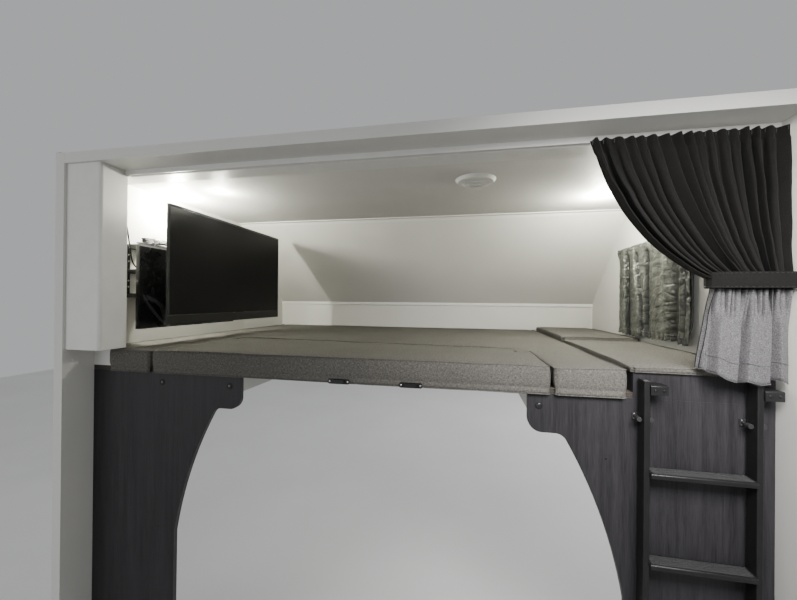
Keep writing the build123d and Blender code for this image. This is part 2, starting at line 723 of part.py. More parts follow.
def privacy_curtain():
    swag = outline([
        (694, 2133), (1192, 2133), (1192, 1416), (1000, 1416), (1010, 1650), (1000, 1740), (860, 1860),
        (740, 2030)])
    return from_aft(swag, -78, -20)


TIE_Z = (1680.0, 1725.0)


def curtain_tieback():
    """Strap round the gathered curtain, with its two ends on one button on the side wall."""
    loop = outline([(990, -85), (HALF, -85), (HALF, -15.5), (990, -15.5)], {0: 8, 3: 8})
    inside = outline([(995, -80), (HALF + 1, -80), (HALF + 1, -18.5), (995, -18.5)], {0: 3, 3: 3})
    return from_top(loop - inside, *TIE_Z)


def write(name, shape):
    moved = Pos(0, -JOINT_Y, -(CEILING + ROOF_TOP) / 2) * shape
    export_step(moved, f"parts/{name}.step")


NODES = {
    "roof_panel": roof_panel(),
    "slope_panel": SLOPE_PANEL,
    "front_wall": front_wall(),
    "floor_pan": floor_pan(),
    "side_wall_left": side_wall_left(),
    "side_wall_right": side_wall_right(),
    "nose_cap": nose_cap(),
    "marker_lamps": marker_lamps(),
    "corner_rail_left": corner_rail(-1),
    "corner_rail_right": corner_rail(1),
    "window_frame": window_frame(),
    "window_ring": window_ring(),
    "window_glass": window_glass(),
    "header_beam": header_beam(),
    "curtain_track": curtain_track(),
    "ledge_trim": ledge_trim(),
    "slope_trim": slope_trim(),
    "left_jamb": left_jamb(),
    "jamb_base": jamb_base(),
    "ceiling_register": ceiling_register(),
    "register_louvre": register_louvre(),
    "bulkhead_left": bulkhead(-1),
    "bulkhead_right": bulkhead(1),
    "bunk_deck": bunk_deck(),
    "bridge_board": bridge_board(),
    "footman_loops": footman_loops(),
    "cushion_middle": cushion_middle(),
    "cushion_main": cushion_main(),
    "step_riser": step_riser(),
    "step_top": step_top(),
    "step_rail": step_rail(),
    "near_pad": step_pad(*NEAR_PAD),
    "far_pad": step_pad(*FAR_PAD),
    "ladder_stiles": ladder_stiles(),
    "ladder_treads": ladder_treads(),
    "ladder_hooks": ladder_hooks(),
    "ladder_feet": ladder_feet(),
    "ladder_clips": ladder_clips(),
    "tv_wall_frame": tv_wall_frame(),
    "tv_hinge_pin": tv_hinge_pin(),
    "tv_swing_frame": tv_swing_frame(),
    "tv_board": tv_board(),
    "tv_tilt_cheeks": tv_tilt_cheeks(),
    "tv_tilt_plate": tv_tilt_plate(),
    "tv_housing": tv_housing(),
    "tv_chin": tv_chin(),
    "tv_screen": tv_screen(),
    "tv_outlet": tv_outlet(),
    "tv_lead": tv_lead(),
    "tv_lead_plug": tv_lead_plug(),
    "tv_cable_hank": tv_cable_hank(),
    "tv_cable_block": tv_cable_block(),
    "window_curtain": window_curtain(),
    "window_curtain_rod": window_curtain_rod(),
    "privacy_curtain": privacy_curtain(),
    "curtain_tieback": curtain_tieback(),
}

for node_name, node_shape in NODES.items():
    write(node_name, node_shape)
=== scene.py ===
import bmesh
import bpy
import math
import random
from mathutils import Matrix, Vector, noise


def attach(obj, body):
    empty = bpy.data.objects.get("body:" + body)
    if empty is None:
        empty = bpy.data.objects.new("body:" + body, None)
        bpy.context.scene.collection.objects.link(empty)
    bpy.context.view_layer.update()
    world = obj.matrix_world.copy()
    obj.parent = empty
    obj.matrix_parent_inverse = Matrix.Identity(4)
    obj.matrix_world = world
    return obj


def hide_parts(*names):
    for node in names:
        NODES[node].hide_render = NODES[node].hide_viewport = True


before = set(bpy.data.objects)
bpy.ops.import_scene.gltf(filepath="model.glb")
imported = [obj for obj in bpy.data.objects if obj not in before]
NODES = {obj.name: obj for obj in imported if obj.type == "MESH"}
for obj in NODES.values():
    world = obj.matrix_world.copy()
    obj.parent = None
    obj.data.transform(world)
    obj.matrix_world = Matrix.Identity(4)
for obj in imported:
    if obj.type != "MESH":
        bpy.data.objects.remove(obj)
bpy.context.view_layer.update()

# Looks of the over-cab bunk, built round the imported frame. Lengths in the tables are millimetres from
# the coach floor and the aft face of the partition panels, as in the part's source; at() turns them
# into metres of the shared frame.

SHIFT = Vector((0.0, 0.120, -2.175))


def at(x, y, z):
    return Vector((x / 1000, y / 1000, z / 1000)) + SHIFT


# Camera
IMAGE_W = 797
FOCAL_PX = 355.0
CAMERA_AT = at(324, -1213, 1636)
YAW = math.radians(10.95)
PITCH = math.radians(0.16)
ROLL = math.radians(0.51)


def make_camera():
    forward = Vector((-math.sin(YAW) * math.cos(PITCH), math.cos(YAW) * math.cos(PITCH), math.sin(PITCH)))
    side = forward.cross(Vector((0, 0, 1))).normalized()
    up = side.cross(forward)
    turned_side = math.cos(ROLL) * side + math.sin(ROLL) * up
    turned_up = math.cos(ROLL) * up - math.sin(ROLL) * side
    data = bpy.data.cameras.new("camera")
    data.sensor_width = 36.0
    data.lens = 36.0 * FOCAL_PX / IMAGE_W
    data.clip_start = 0.02
    camera = bpy.data.objects.new("camera", data)
    bpy.context.scene.collection.objects.link(camera)
    columns = Matrix((turned_side, turned_up, -forward)).transposed().to_4x4()
    camera.matrix_world = Matrix.Translation(CAMERA_AT) @ columns
    bpy.context.scene.camera = camera


# Materials
class Shader:
    """A principled material with short calls for the nodes used here."""

    def __init__(self, name, colour, rough, **sockets):
        self.material = bpy.data.materials.new(name)
        self.material.use_nodes = True
        self.tree = self.material.node_tree
        self.surface = self.tree.nodes["Principled BSDF"]
        self.set("Base Color", (*colour, 1.0))
        self.set("Roughness", rough)
        for socket, value in sockets.items():
            self.set(socket.replace("_", " ").title().replace("Ior", "IOR"), value)
        self.where = self.node("ShaderNodeTexCoord")

    def set(self, socket, value):
        self.surface.inputs[socket].default_value = value

    def node(self, kind, **settings):
        made = self.tree.nodes.new(kind)
        for key, value in settings.items():
            setattr(made, key, value)
        return made

    def put(self, socket, value):
        if isinstance(value, bpy.types.NodeSocket):
            self.tree.links.new(value, socket)
        else:
            socket.default_value = value

    def coords(self, scale=(1, 1, 1), kind="Object"):
        mapping = self.node("ShaderNodeMapping")
        self.put(mapping.inputs["Vector"], self.where.outputs[kind])
        mapping.inputs["Scale"].default_value = scale
        return mapping.outputs["Vector"]

    def noise(self, size, detail=3.0, scale=(1, 1, 1), where=None, distort=0.0, rough=0.5):
        """Noise whose grains are about size metres across."""
        made = self.node("ShaderNodeTexNoise")
        made.inputs["Scale"].default_value = 1.0 / size
        made.inputs["Detail"].default_value = detail
        made.inputs["Roughness"].default_value = rough
        made.inputs["Distortion"].default_value = distort
        self.put(made.inputs["Vector"], where if where is not None else self.coords(scale))
        return made.outputs["Fac"]

    def cells(self, size, feature="F1", scale=(1, 1, 1), where=None):
        made = self.node("ShaderNodeTexVoronoi", feature=feature)
        made.inputs["Scale"].default_value = 1.0 / size
        self.put(made.inputs["Vector"], where if where is not None else self.coords(scale))
        return made.outputs["Distance"]

    def math(self, operation, a, b=0.0, c=0.0):
        made = self.node("ShaderNodeMath", operation=operation)
        for socket, value in zip(made.inputs, (a, b, c)):
            self.put(socket, value)
        return made.outputs[0]

    def span(self, value, low, high, to_low=0.0, to_high=1.0):
        made = self.node("ShaderNodeMapRange")
        for socket, number in zip(made.inputs, (value, low, high, to_low, to_high)):
            self.put(socket, number)
        return made.outputs[0]

    def mix(self, share, a, b, mode="MIX"):
        made = self.node("ShaderNodeMix", data_type="RGBA", blend_type=mode)
        self.put(made.inputs["Factor"], share)
        for socket, value in ((made.inputs[6], a), (made.inputs[7], b)):
            self.put(socket, value if isinstance(value, bpy.types.NodeSocket) else (*value, 1.0))
        return made.outputs[2]

    def parts(self, vector):
        split = self.node("ShaderNodeSeparateXYZ")
        self.put(split.inputs[0], vector)
        return split.outputs

    def join(self, x, y, z):
        made = self.node("ShaderNodeCombineXYZ")
        for socket, value in zip(made.inputs, (x, y, z)):
            self.put(socket, value)
        return made.outputs[0]

    def colour(self, value):
        self.put(self.surface.inputs["Base Color"], value)

    def rough(self, value):
        self.put(self.surface.inputs["Roughness"], value)

    def bump(self, height, depth, strength=1.0):
        """Depth in metres. A second bump adds to the first."""
        made = self.node("ShaderNodeBump")
        made.inputs["Distance"].default_value = depth
        made.inputs["Strength"].default_value = strength
        self.put(made.inputs["Height"], height)
        normal = self.surface.inputs["Normal"]
        if normal.is_linked:
            self.put(made.inputs["Normal"], normal.links[0].from_socket)
        self.put(normal, made.outputs["Normal"])


def shade(colour, factor):
    return tuple(min(1.0, c * factor) for c in colour)


def lining(name, colour, grain):
    """Vinyl-faced wall board with a fine pebbled emboss."""
    s = Shader(name, colour, 0.62, specular_ior_level=0.4)
    cloud = s.noise(0.35, 2)
    s.colour(s.mix(s.span(cloud, 0.3, 0.7), shade(colour, 0.975), shade(colour, 1.02)))
    s.rough(s.span(s.noise(0.02, 3), 0.3, 0.7, 0.55, 0.7))
    s.bump(s.noise(grain, 3, rough=0.6), 0.0004, 0.35)
    s.bump(s.noise(0.12, 2), 0.0012, 0.25)
    return s.material


def trim(name, colour, rough=0.42):
    """Extruded or moulded white trim, satin, with faint flow marks and dust."""
    s = Shader(name, colour, rough, coat_weight=0.12, coat_roughness=0.35)
    dust = s.noise(0.06, 4)
    s.colour(s.mix(s.span(dust, 0.4, 0.75), colour, shade(colour, 0.95)))
    s.rough(s.span(s.noise(0.015, 3), 0.3, 0.7, rough - 0.06, rough + 0.08))
    s.bump(s.noise(0.0011, 2), 0.00015, 0.3)
    return s.material


def gelcoat(name, colour):
    """Moulded outer skin: gloss, with a faint waviness and rain streaks that run down."""
    s = Shader(name, colour, 0.2, coat_weight=0.7, coat_roughness=0.06)
    streak = s.noise(0.05, 4, scale=(1, 0.12, 0.12))
    s.colour(s.mix(s.span(streak, 0.5, 0.8), colour, shade(colour, 0.93)))
    s.rough(s.span(s.noise(0.09, 3), 0.35, 0.7, 0.16, 0.32))
    s.bump(s.noise(0.16, 1), 0.0006, 0.25)
    s.bump(s.noise(0.0025, 2), 0.00005, 0.3)
    return s.material


def laminate(name, dark, light, gloss):
    """Charcoal wood-grain laminate, its grain upright."""
    s = Shader(name, dark, gloss, specular_ior_level=0.22)
    wave = s.noise(0.12, 3, scale=(1, 1, 0.12))
    bent = s.node("ShaderNodeVectorMath", operation="SCALE")
    s.put(bent.inputs[0], s.join(wave, wave, 0.0))
    bent.inputs["Scale"].default_value = 0.03
    moved = s.node("ShaderNodeVectorMath", operation="ADD")
    s.put(moved.inputs[0], s.coords((1, 1, 0.035)))
    s.put(moved.inputs[1], bent.outputs[0])
    fine = s.noise(0.0022, 5, where=moved.outputs[0], rough=0.65)
    broad = s.noise(0.016, 3, where=moved.outputs[0])
    grain = s.math("ADD", s.math("MULTIPLY", fine, 0.6), s.math("MULTIPLY", broad, 0.4))
    s.colour(s.mix(s.span(grain, 0.36, 0.64), dark, light))
    s.rough(s.span(grain, 0.35, 0.65, gloss - 0.07, gloss + 0.1))
    s.bump(fine, 0.00025, 0.35)
    return s.material


def plywood(name, face, dark, painted_edge_shade=1.0):
    """Veneer on the faces, and plies on the cut edges, darkened there by the edge factor as painted shade."""
    s = Shader(name, face, 0.7)
    grain = s.noise(0.006, 5, scale=(0.06, 1, 1), distort=0.4)
    veneer = s.mix(s.span(grain, 0.38, 0.62), dark, face)
    height = s.parts(s.where.outputs["Object"])[2]
    ply = s.math("SINE", s.math("MULTIPLY", height, 2 * math.pi / 0.0052))
    # painted shade: a low edge factor darkens the plies, for the shade in the gaps and under the cushions' front
    # edge
    edge = s.mix(s.span(ply, -0.4, 0.4), shade(dark, 0.62 * painted_edge_shade), shade(face, 0.9 * painted_edge_shade))
    upright = s.math("ABSOLUTE", s.parts(s.where.outputs["Normal"])[2])
    s.colour(s.mix(s.span(upright, 0.4, 0.6), edge, veneer))
    s.bump(grain, 0.0004, 0.3)
    return s.material


def cloth_plane(s):
    """Two coordinates that lie in the cloth, picked by which way each face looks."""
    x, y, z = s.parts(s.where.outputs["Object"])[:3]
    nx, _, nz = s.parts(s.where.outputs["Normal"])[:3]
    faces_side = s.math("GREATER_THAN", s.math("ABSOLUTE", nx), 0.7)
    faces_up = s.math("GREATER_THAN", s.math("ABSOLUTE", nz), 0.7)
    across = s.math("ADD", x, s.math("MULTIPLY", s.math("SUBTRACT", y, x), faces_side))
    along = s.math("ADD", z, s.math("MULTIPLY", s.math("SUBTRACT", y, z), faces_up))
    return across, along


def weave(s, across, along, pitch):
    """Height of a plain weave: yarns that pass over and under each other."""
    turn = math.pi / pitch
    warp = s.math("SINE", s.math("MULTIPLY", across, turn))
    weft = s.math("SINE", s.math("MULTIPLY", along, turn))
    over = s.math("GREATER_THAN", s.math("MULTIPLY", warp, weft), 0.0)
    up = s.math("ABSOLUTE", warp)
    flat = s.math("ABSOLUTE", weft)
    return s.math("ADD", flat, s.math("MULTIPLY", s.math("SUBTRACT", up, flat), over))


def tweed(name, dark, mid, light):
    """Upholstery tweed: a plain weave of heathered yarn, with slubs and flecks."""
    s = Shader(name, mid, 0.95, specular_ior_level=0.08)
    across, along = cloth_plane(s)
    plane = s.join(across, along, 0.0)
    yarn = weave(s, across, along, 0.0017)
    wide = s.noise(0.0026, 2, where=s.join(s.math("MULTIPLY", across, 0.35), along, 0.0), rough=0.6)
    tall = s.noise(0.0026, 2, where=s.join(across, s.math("MULTIPLY", along, 0.35), 0.0), rough=0.6)
    fleck = s.math("MULTIPLY", s.math("ADD", wide, tall), 0.5)
    slub = s.noise(0.009, 1, where=plane)
    patch = s.noise(0.16, 3)
    base = s.mix(s.span(fleck, 0.38, 0.52), dark, mid)
    base = s.mix(s.span(fleck, 0.53, 0.66), base, light)
    base = s.mix(s.math("MULTIPLY", s.span(slub, 0.45, 0.7), 0.28), base, light)
    shadow = s.span(yarn, 0.0, 0.75, 0.55, 1.0)
    base = s.mix(1.0, base, s.join(shadow, shadow, shadow), "MULTIPLY")
    wear = s.span(patch, 0.3, 0.7, 0.93, 1.05)
    s.colour(s.mix(1.0, base, s.join(wear, wear, wear), "MULTIPLY"))
    s.bump(yarn, 0.0005, 0.6)
    s.bump(fleck, 0.0006, 0.4)
    return s.material


def drape(name, dark, light, pitch, sheen):
    """Heavy curtain cloth: fine weave and a soft nap."""
    s = Shader(name, dark, 0.9, specular_ior_level=0.2, sheen_weight=sheen, sheen_roughness=0.45)
    across, along = cloth_plane(s)
    yarn = weave(s, across, along, pitch)
    heather = s.noise(0.0032, 4, rough=0.75)
    s.colour(s.mix(s.span(heather, 0.4, 0.66), dark, light))
    s.bump(yarn, pitch * 0.25, 0.5)
    s.bump(heather, 0.0006, 0.4)
    s.bump(s.noise(0.03, 3), 0.002, 0.25)
    return s.material


FOLD_PAINTED_SHADE = (1.158, 1.180)      # X in metres: shade is painted into the window curtain's folds from here to here


def satin(name, dark, light):
    """Crinkled metallic satin: sharp little creases, a silky shine with painted sheen as lighter mottling, and
    painted shade deep in the folds.
    """
    s = Shader(name, dark, 0.34, metallic=0.3, specular_ior_level=0.7)
    crease = s.cells(0.045, "DISTANCE_TO_EDGE", where=s.coords((1, 0.5, 1)))
    small = s.noise(0.016, 2, scale=(1, 0.4, 1), distort=0.8, rough=0.5)
    # painted sheen: the small noise lightens the cloth in patches, for the shine on its crinkles
    face = s.mix(s.span(small, 0.35, 0.7), dark, light)
    # painted shade: the colour darkens towards the wall, where the folds run deep
    deep = s.span(s.parts(s.where.outputs["Object"])[0], *FOLD_PAINTED_SHADE)
    s.colour(s.mix(deep, face, shade(dark, 0.22)))
    s.rough(s.span(small, 0.35, 0.65, 0.3, 0.52))
    s.bump(s.span(crease, 0.0, 0.12), 0.002, 0.6)
    s.bump(small, 0.004, 0.5)
    return s.material


def powder(name, colour, rough=0.42):
    """Powder-coated steel with a fine orange peel."""
    s = Shader(name, colour, rough, specular_ior_level=0.35)
    peel = s.noise(0.0016, 2)
    s.colour(s.mix(s.span(s.noise(0.05, 4), 0.5, 0.8), colour, shade(colour, 1.6)))
    s.rough(s.span(peel, 0.3, 0.7, rough - 0.08, rough + 0.1))
    s.bump(peel, 0.0002, 0.5)
    return s.material


def bare_metal(name, colour, rough, grain):
    """Metal with drawn or brushed lines along grain, a scale for the three axes."""
    s = Shader(name, colour, rough, metallic=1.0)
    lines = s.noise(0.0012, 4, scale=grain)
    s.colour(s.mix(s.span(lines, 0.3, 0.7), shade(colour, 0.86), colour))
    s.rough(s.span(lines, 0.3, 0.7, rough - 0.07, rough + 0.12))
    s.bump(lines, 0.0001, 0.4)
    return s.material


def moulding(name, colour, rough, depth=0.00008, size=0.0012, gleam=0.5):
    """Moulded plastic or rubber with a fine spark texture and finger marks."""
    s = Shader(name, colour, rough, specular_ior_level=gleam)
    smear = s.noise(0.045, 4, distort=0.6)
    s.colour(s.mix(s.span(smear, 0.45, 0.75), colour, shade(colour, 1.25)))
    s.rough(s.span(smear, 0.35, 0.7, rough, min(0.95, rough + 0.14)))
    s.bump(s.noise(size, 2), depth, 0.5)
    return s.material


def panel_glass(name, colour):
    """The screen: a dark, half-matt film over a grid too fine to see, with wipe marks."""
    s = Shader(name, colour, 0.3, specular_ior_level=0.14)
    wipe = s.noise(0.25, 2, scale=(1, 1, 0.5))
    s.colour(s.mix(s.span(wipe, 0.4, 0.75), colour, shade(colour, 1.15)))
    s.rough(s.span(wipe, 0.35, 0.7, 0.28, 0.33))
    return s.material


def clear(name, colour, rough, share, ior=1.49):
    s = Shader(name, colour, rough, transmission_weight=share, ior=ior)
    s.rough(s.span(s.noise(0.05, 3), 0.4, 0.75, rough, rough + 0.06))
    s.bump(s.noise(0.2, 1), 0.0004, 0.15)
    return s.material


M = {
    "wall": lining("wall_lining", (0.60, 0.595, 0.56), 0.0016),
    "ceiling": lining("ceiling_lining", (0.60, 0.597, 0.57), 0.0026),
    "trim": trim("white_trim", (0.67, 0.663, 0.635)),
    "gelcoat": gelcoat("nose_gelcoat", (0.86, 0.86, 0.85)),
    "laminate": laminate("charcoal_laminate", (0.0155, 0.0145, 0.0162), (0.034, 0.032, 0.0355), 0.46),
    "board": moulding("gloss_board", (0.009, 0.0098, 0.0094), 0.22, 0.00004, 0.02),
    # the 0.6 darkens the deck's cut edges as painted shade
    "deck": plywood("dark_plywood", (0.085, 0.07, 0.055), (0.045, 0.036, 0.028), 0.6),
    "tweed": tweed("grey_tweed", (0.072, 0.068, 0.061), (0.124, 0.118, 0.106), (0.205, 0.197, 0.18)),
    "satin": satin("crinkle_satin", (0.045, 0.048, 0.04), (0.145, 0.152, 0.131)),
    "drape": drape("dark_drape", (0.0035, 0.0033, 0.0028), (0.0095, 0.0088, 0.0076), 0.0011, 0.03),
    # painted light: the privacy curtain's tail is the same dark drape cloth, drawn in these lighter colours for the
    # light that falls on it
    "heather": drape("drape_painted_light", (0.066, 0.064, 0.066), (0.168, 0.163, 0.169), 0.0024, 0.05),
    "steel": powder("black_powder_coat", (0.0085, 0.0085, 0.009), 0.4),
    "aluminium": bare_metal("drawn_aluminium", (0.72, 0.73, 0.74), 0.34, (1, 0.04, 1)),
    "nickel": bare_metal("nickel_plate", (0.62, 0.6, 0.56), 0.26, (1, 1, 1)),
    "gloss": moulding("gloss_moulding", (0.012, 0.012, 0.013), 0.14),
    "chin": moulding("satin_moulding", (0.016, 0.016, 0.0155), 0.4, gleam=0.22),
    "rough_black": moulding("textured_moulding", (0.02, 0.02, 0.021), 0.5, 0.0002),
    "jacket": moulding("cable_jacket", (0.004, 0.004, 0.004), 0.14, gleam=0.2),
    "grey_jacket": moulding("grey_cable_jacket", (0.2, 0.2, 0.2), 0.4),
    "rubber": moulding("rubber", (0.022, 0.022, 0.022), 0.78, 0.0003),
    "nylon": moulding("white_nylon", (0.72, 0.72, 0.7), 0.4),
    "screen": panel_glass("screen_film", (0.004, 0.004, 0.0042)),
    "amber": clear("amber_lens", (0.95, 0.33, 0.03), 0.12, 0.55),
    "pane": clear("tinted_pane", (0.42, 0.46, 0.46), 0.02, 0.85),
    "thread": moulding("thread", (0.2, 0.195, 0.18), 0.8),
    "webbing": moulding("webbing", (0.06, 0.06, 0.058), 0.08, 0.003, 0.014, gleam=1.0),
    "sealant": moulding("sealant", (0.62, 0.61, 0.58), 0.5, 0.0004, 0.004),
}

NODE_LOOKS = {
    "wall": ("slope_panel", "front_wall", "floor_pan", "side_wall_left", "side_wall_right"),
    "ceiling": ("roof_panel",),
    "gelcoat": ("nose_cap",),
    "trim": ("window_ring", "header_beam", "curtain_track", "ledge_trim", "slope_trim", "left_jamb",
             "jamb_base", "ceiling_register", "register_louvre", "window_curtain_rod", "tv_outlet"),
    "laminate": ("bulkhead_left", "bulkhead_right", "step_riser", "step_rail"),
    "board": ("tv_board",),
    "deck": ("bunk_deck", "bridge_board", "step_top"),
    "tweed": ("cushion_middle", "cushion_main", "near_pad", "far_pad"),
    "satin": ("window_curtain",),
    "drape": ("privacy_curtain", "curtain_tieback"),
    "steel": ("window_frame", "footman_loops", "ladder_stiles", "ladder_treads", "ladder_hooks",
              "tv_wall_frame", "tv_hinge_pin", "tv_swing_frame", "tv_tilt_cheeks", "tv_tilt_plate"),
    "rough_black": ("ladder_clips", "tv_cable_block"),
    "aluminium": ("corner_rail_left", "corner_rail_right"),
    "nickel": ("tv_lead_plug",),
    "gloss": ("tv_housing",),
    "chin": ("tv_chin",),
    "screen": ("tv_screen",),
    "jacket": ("tv_lead", "tv_cable_hank"),
    "rubber": ("ladder_feet",),
    "amber": ("marker_lamps",),
    "pane": ("window_glass",),
}


def dress_nodes():
    for look, names in NODE_LOOKS.items():
        for name in names:
            data = NODES[name].data
            data.materials.clear()
            data.materials.append(M[look])


# Mesh tools
def show(name, mesh, look, body="root", looks=()):
    """An object of this mesh that rides on a body, with its materials."""
    for key in (look, *looks):
        mesh.materials.append(M[key])
    piece = bpy.data.objects.new(name, mesh)
    bpy.context.scene.collection.objects.link(piece)
    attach(piece, body)
    return piece


class Build:
    """Collects the vertices and faces of one piece, in metres."""

    def __init__(self):
        self.points = []
        self.faces = []
        self.marks = []

    def add(self, points, faces, place=None, mark=0):
        first = len(self.points)
        if place is not None:
            points = [place @ Vector(p) for p in points]
        self.points += [tuple(p) for p in points]
        self.faces += [tuple(i + first for i in f) for f in faces]
        self.marks += [mark] * len(faces)

    def mesh(self, name, sharp=35):
        data = bpy.data.meshes.new(name)
        data.from_pydata(self.points, [], self.faces)
        data.polygons.foreach_set("material_index", self.marks)
        data.polygons.foreach_set("use_smooth", [True] * len(self.faces))
        data.update()
        data.set_sharp_from_angle(angle=math.radians(sharp))
        return data


def facing(place, normal, roll=0.0):
    """A matrix that carries +Z onto normal, at place."""
    turn = Vector(normal).to_track_quat("Z", "Y").to_matrix().to_4x4()
    return Matrix.Translation(place) @ turn @ Matrix.Rotation(roll, 4, "Z")


def lathe(profile, steps=20):
    """Points and faces of a profile of (radius, height) turned about Z. An end at radius 0 is closed."""
    points = []
    faces = []
    rings = []
    for radius, height in profile:
        if radius == 0:
            rings.append([len(points)] * steps)
            points.append((0, 0, height))
        else:
            rings.append(list(range(len(points), len(points) + steps)))
            for k in range(steps):
                turn = 2 * math.pi * k / steps
                points.append((radius * math.cos(turn), radius * math.sin(turn), height))
    for low, high in zip(rings, rings[1:]):
        for k in range(steps):
            quad = (low[k], low[(k + 1) % steps], high[(k + 1) % steps], high[k])
            face = tuple(dict.fromkeys(quad))
            if len(face) > 2:
                faces.append(face)
    return points, faces


def prism(outline, low, high, edge=0.0):
    """A flat outline of (x, y) given its height along Z, with its rims cut back by edge."""
    middle = Vector((sum(p[0] for p in outline), sum(p[1] for p in outline))) / len(outline)
    levels = [(low, edge), (low + edge, 0), (high - edge, 0), (high, edge)] if edge else [(low, 0), (high, 0)]
    points = []
    for height, cut in levels:
        for p in outline:
            out = (Vector(p) - middle).normalized()
            points.append((p[0] - out.x * cut, p[1] - out.y * cut, height))
    n = len(outline)
    faces = [tuple(reversed(range(n)))]
    for level in range(len(levels) - 1):
        for k in range(n):
            a, b = level * n + k, level * n + (k + 1) % n
            faces.append((a, b, b + n, a + n))
    faces.append(tuple(range((len(levels) - 1) * n, len(levels) * n)))
    return points, faces


def rounded(width, height, radius, steps=4):
    """Points of a rectangle with round corners, about the origin."""
    ring = []
    for cx, cy, start in ((1, 1, 0), (-1, 1, 90), (-1, -1, 180), (1, -1, 270)):
        for k in range(steps + 1):
            turn = math.radians(start + 90 * k / steps)
            ring.append((cx * (width / 2 - radius) + radius * math.cos(turn),
                         cy * (height / 2 - radius) + radius * math.sin(turn)))
    return ring


def block(build, low, high, edge=0.001, mark=0):
    """A box between two corners, its edges bevelled."""
    bm = bmesh.new()
    bmesh.ops.create_cube(bm, size=1.0)
    size = Vector(high) - Vector(low)
    for v in bm.verts:
        v.co = Vector(low) + Vector(((v.co.x + 0.5) * size.x, (v.co.y + 0.5) * size.y, (v.co.z + 0.5) * size.z))
    if edge:
        bmesh.ops.bevel(bm, geom=bm.edges[:], offset=min(edge, min(size) * 0.45), segments=2, profile=0.5,
                        affect="EDGES")
    bm.verts.index_update()
    build.add([tuple(v.co) for v in bm.verts], [tuple(v.index for v in f.verts) for f in bm.faces], mark=mark)
    bm.free()


def sweep(build, line, section, closed=False, ends=True, mark=0, up=(0, 0, 1), widths=None):
    """Carries a flat section of (side, up) along a line of points."""
    line = [Vector(p) for p in line]
    count = len(line)
    n = len(section)
    points = []
    side = None
    for i, here in enumerate(line):
        before = line[i - 1] if i or closed else here
        after = line[(i + 1) % count] if i < count - 1 or closed else here
        way = (after - before).normalized()
        if side is None:
            side = way.cross(Vector(up))
            if side.length < 1e-4:
                side = way.cross(Vector((1, 0, 0)))
        side = (side - way * side.dot(way)).normalized()
        rise = side.cross(way)
        grow = widths[i] if widths else 1.0
        points += [here + side * a * grow + rise * b * grow for a, b in section]
    faces = []
    for i in range(count if closed else count - 1):
        a, b = i * n, ((i + 1) % count) * n
        for k in range(n):
            faces.append((a + k, a + (k + 1) % n, b + (k + 1) % n, b + k))
    if ends and not closed:
        faces.append(tuple(reversed(range(n))))
        faces.append(tuple(range((count - 1) * n, count * n)))
    build.add(points, faces, mark=mark)


def circle(radius, steps=8):
    return [(radius * math.cos(2 * math.pi * k / steps), radius * math.sin(2 * math.pi * k / steps))
            for k in range(steps)]


def pan_screw(build, place, normal, radius=0.004, mark=0, roll=0.0):
    """A low round head with a cross recess."""
    r = radius
    dome = [(r, 0), (r, r * 0.12), (r * 0.93, r * 0.34), (r * 0.7, r * 0.52), (r * 0.42, r * 0.58)]
    place = facing(place, normal, roll)
    build.add(*lathe(dome, 20), place, mark)
    recess = []
    for k in range(20):
        turn = 2 * math.pi * k / 20
        arm = abs(math.cos(2 * turn))
        recess.append((0.42 * r * math.cos(turn), 0.42 * r * math.sin(turn), r * 0.58))
        recess.append((r * (0.12 + 0.22 * arm) * math.cos(turn), r * (0.12 + 0.22 * arm) * math.sin(turn),
                       r * 0.56))
        recess.append((r * (0.06 + 0.14 * arm) * math.cos(turn), r * (0.06 + 0.14 * arm) * math.sin(turn),
                       r * 0.16))
    recess.append((0, 0, r * 0.14))
    faces = []
    for k in range(20):
        a, b = 3 * k, 3 * ((k + 1) % 20)
        faces += [(a, b, b + 1, a + 1), (a + 1, b + 1, b + 2, a + 2), (a + 2, b + 2, 60)]
    build.add(recess, faces, place, mark)


# Cushions: closed foam forms in tweed covers. Each outline is (x, y) with the corners to round by number.
BED_LOW = 1360.5
BED_HIGH = 1430.0
BED_FRONT = -20.0
LIP_BACK = -1.5
LIP_LOW = 1343.5
SPLIT = (-908.0, 593.0)
SEAM = (520.0, 402.0)
GAP = 3.5


def seam_y(x):
    return SEAM[0] + (x - SPLIT[0]) * (SEAM[1] - SEAM[0]) / (SPLIT[1] - SPLIT[0])


def round_corners(points, radii, steps=5):
    """The outline again, with an arc in place of each corner that radii names."""
    ring = []
    for i, p in enumerate(points):
        here = Vector(p)
        if i not in radii:
            ring.append(here)
            continue
        before = (Vector(points[i - 1]) - here).normalized()
        after = (Vector(points[(i + 1) % len(points)]) - here).normalized()
        half = before.angle(after) / 2
        back = radii[i] / math.tan(half)
        middle = here + (before + after).normalized() * radii[i] / math.sin(half)
        first = here + before * back - middle
        last = here + after * back - middle
        for k in range(steps + 1):
            ring.append(middle + first.slerp(last, k / steps, first) if 0 < k < steps
                        else middle + (first, last)[k > 0])
    return ring


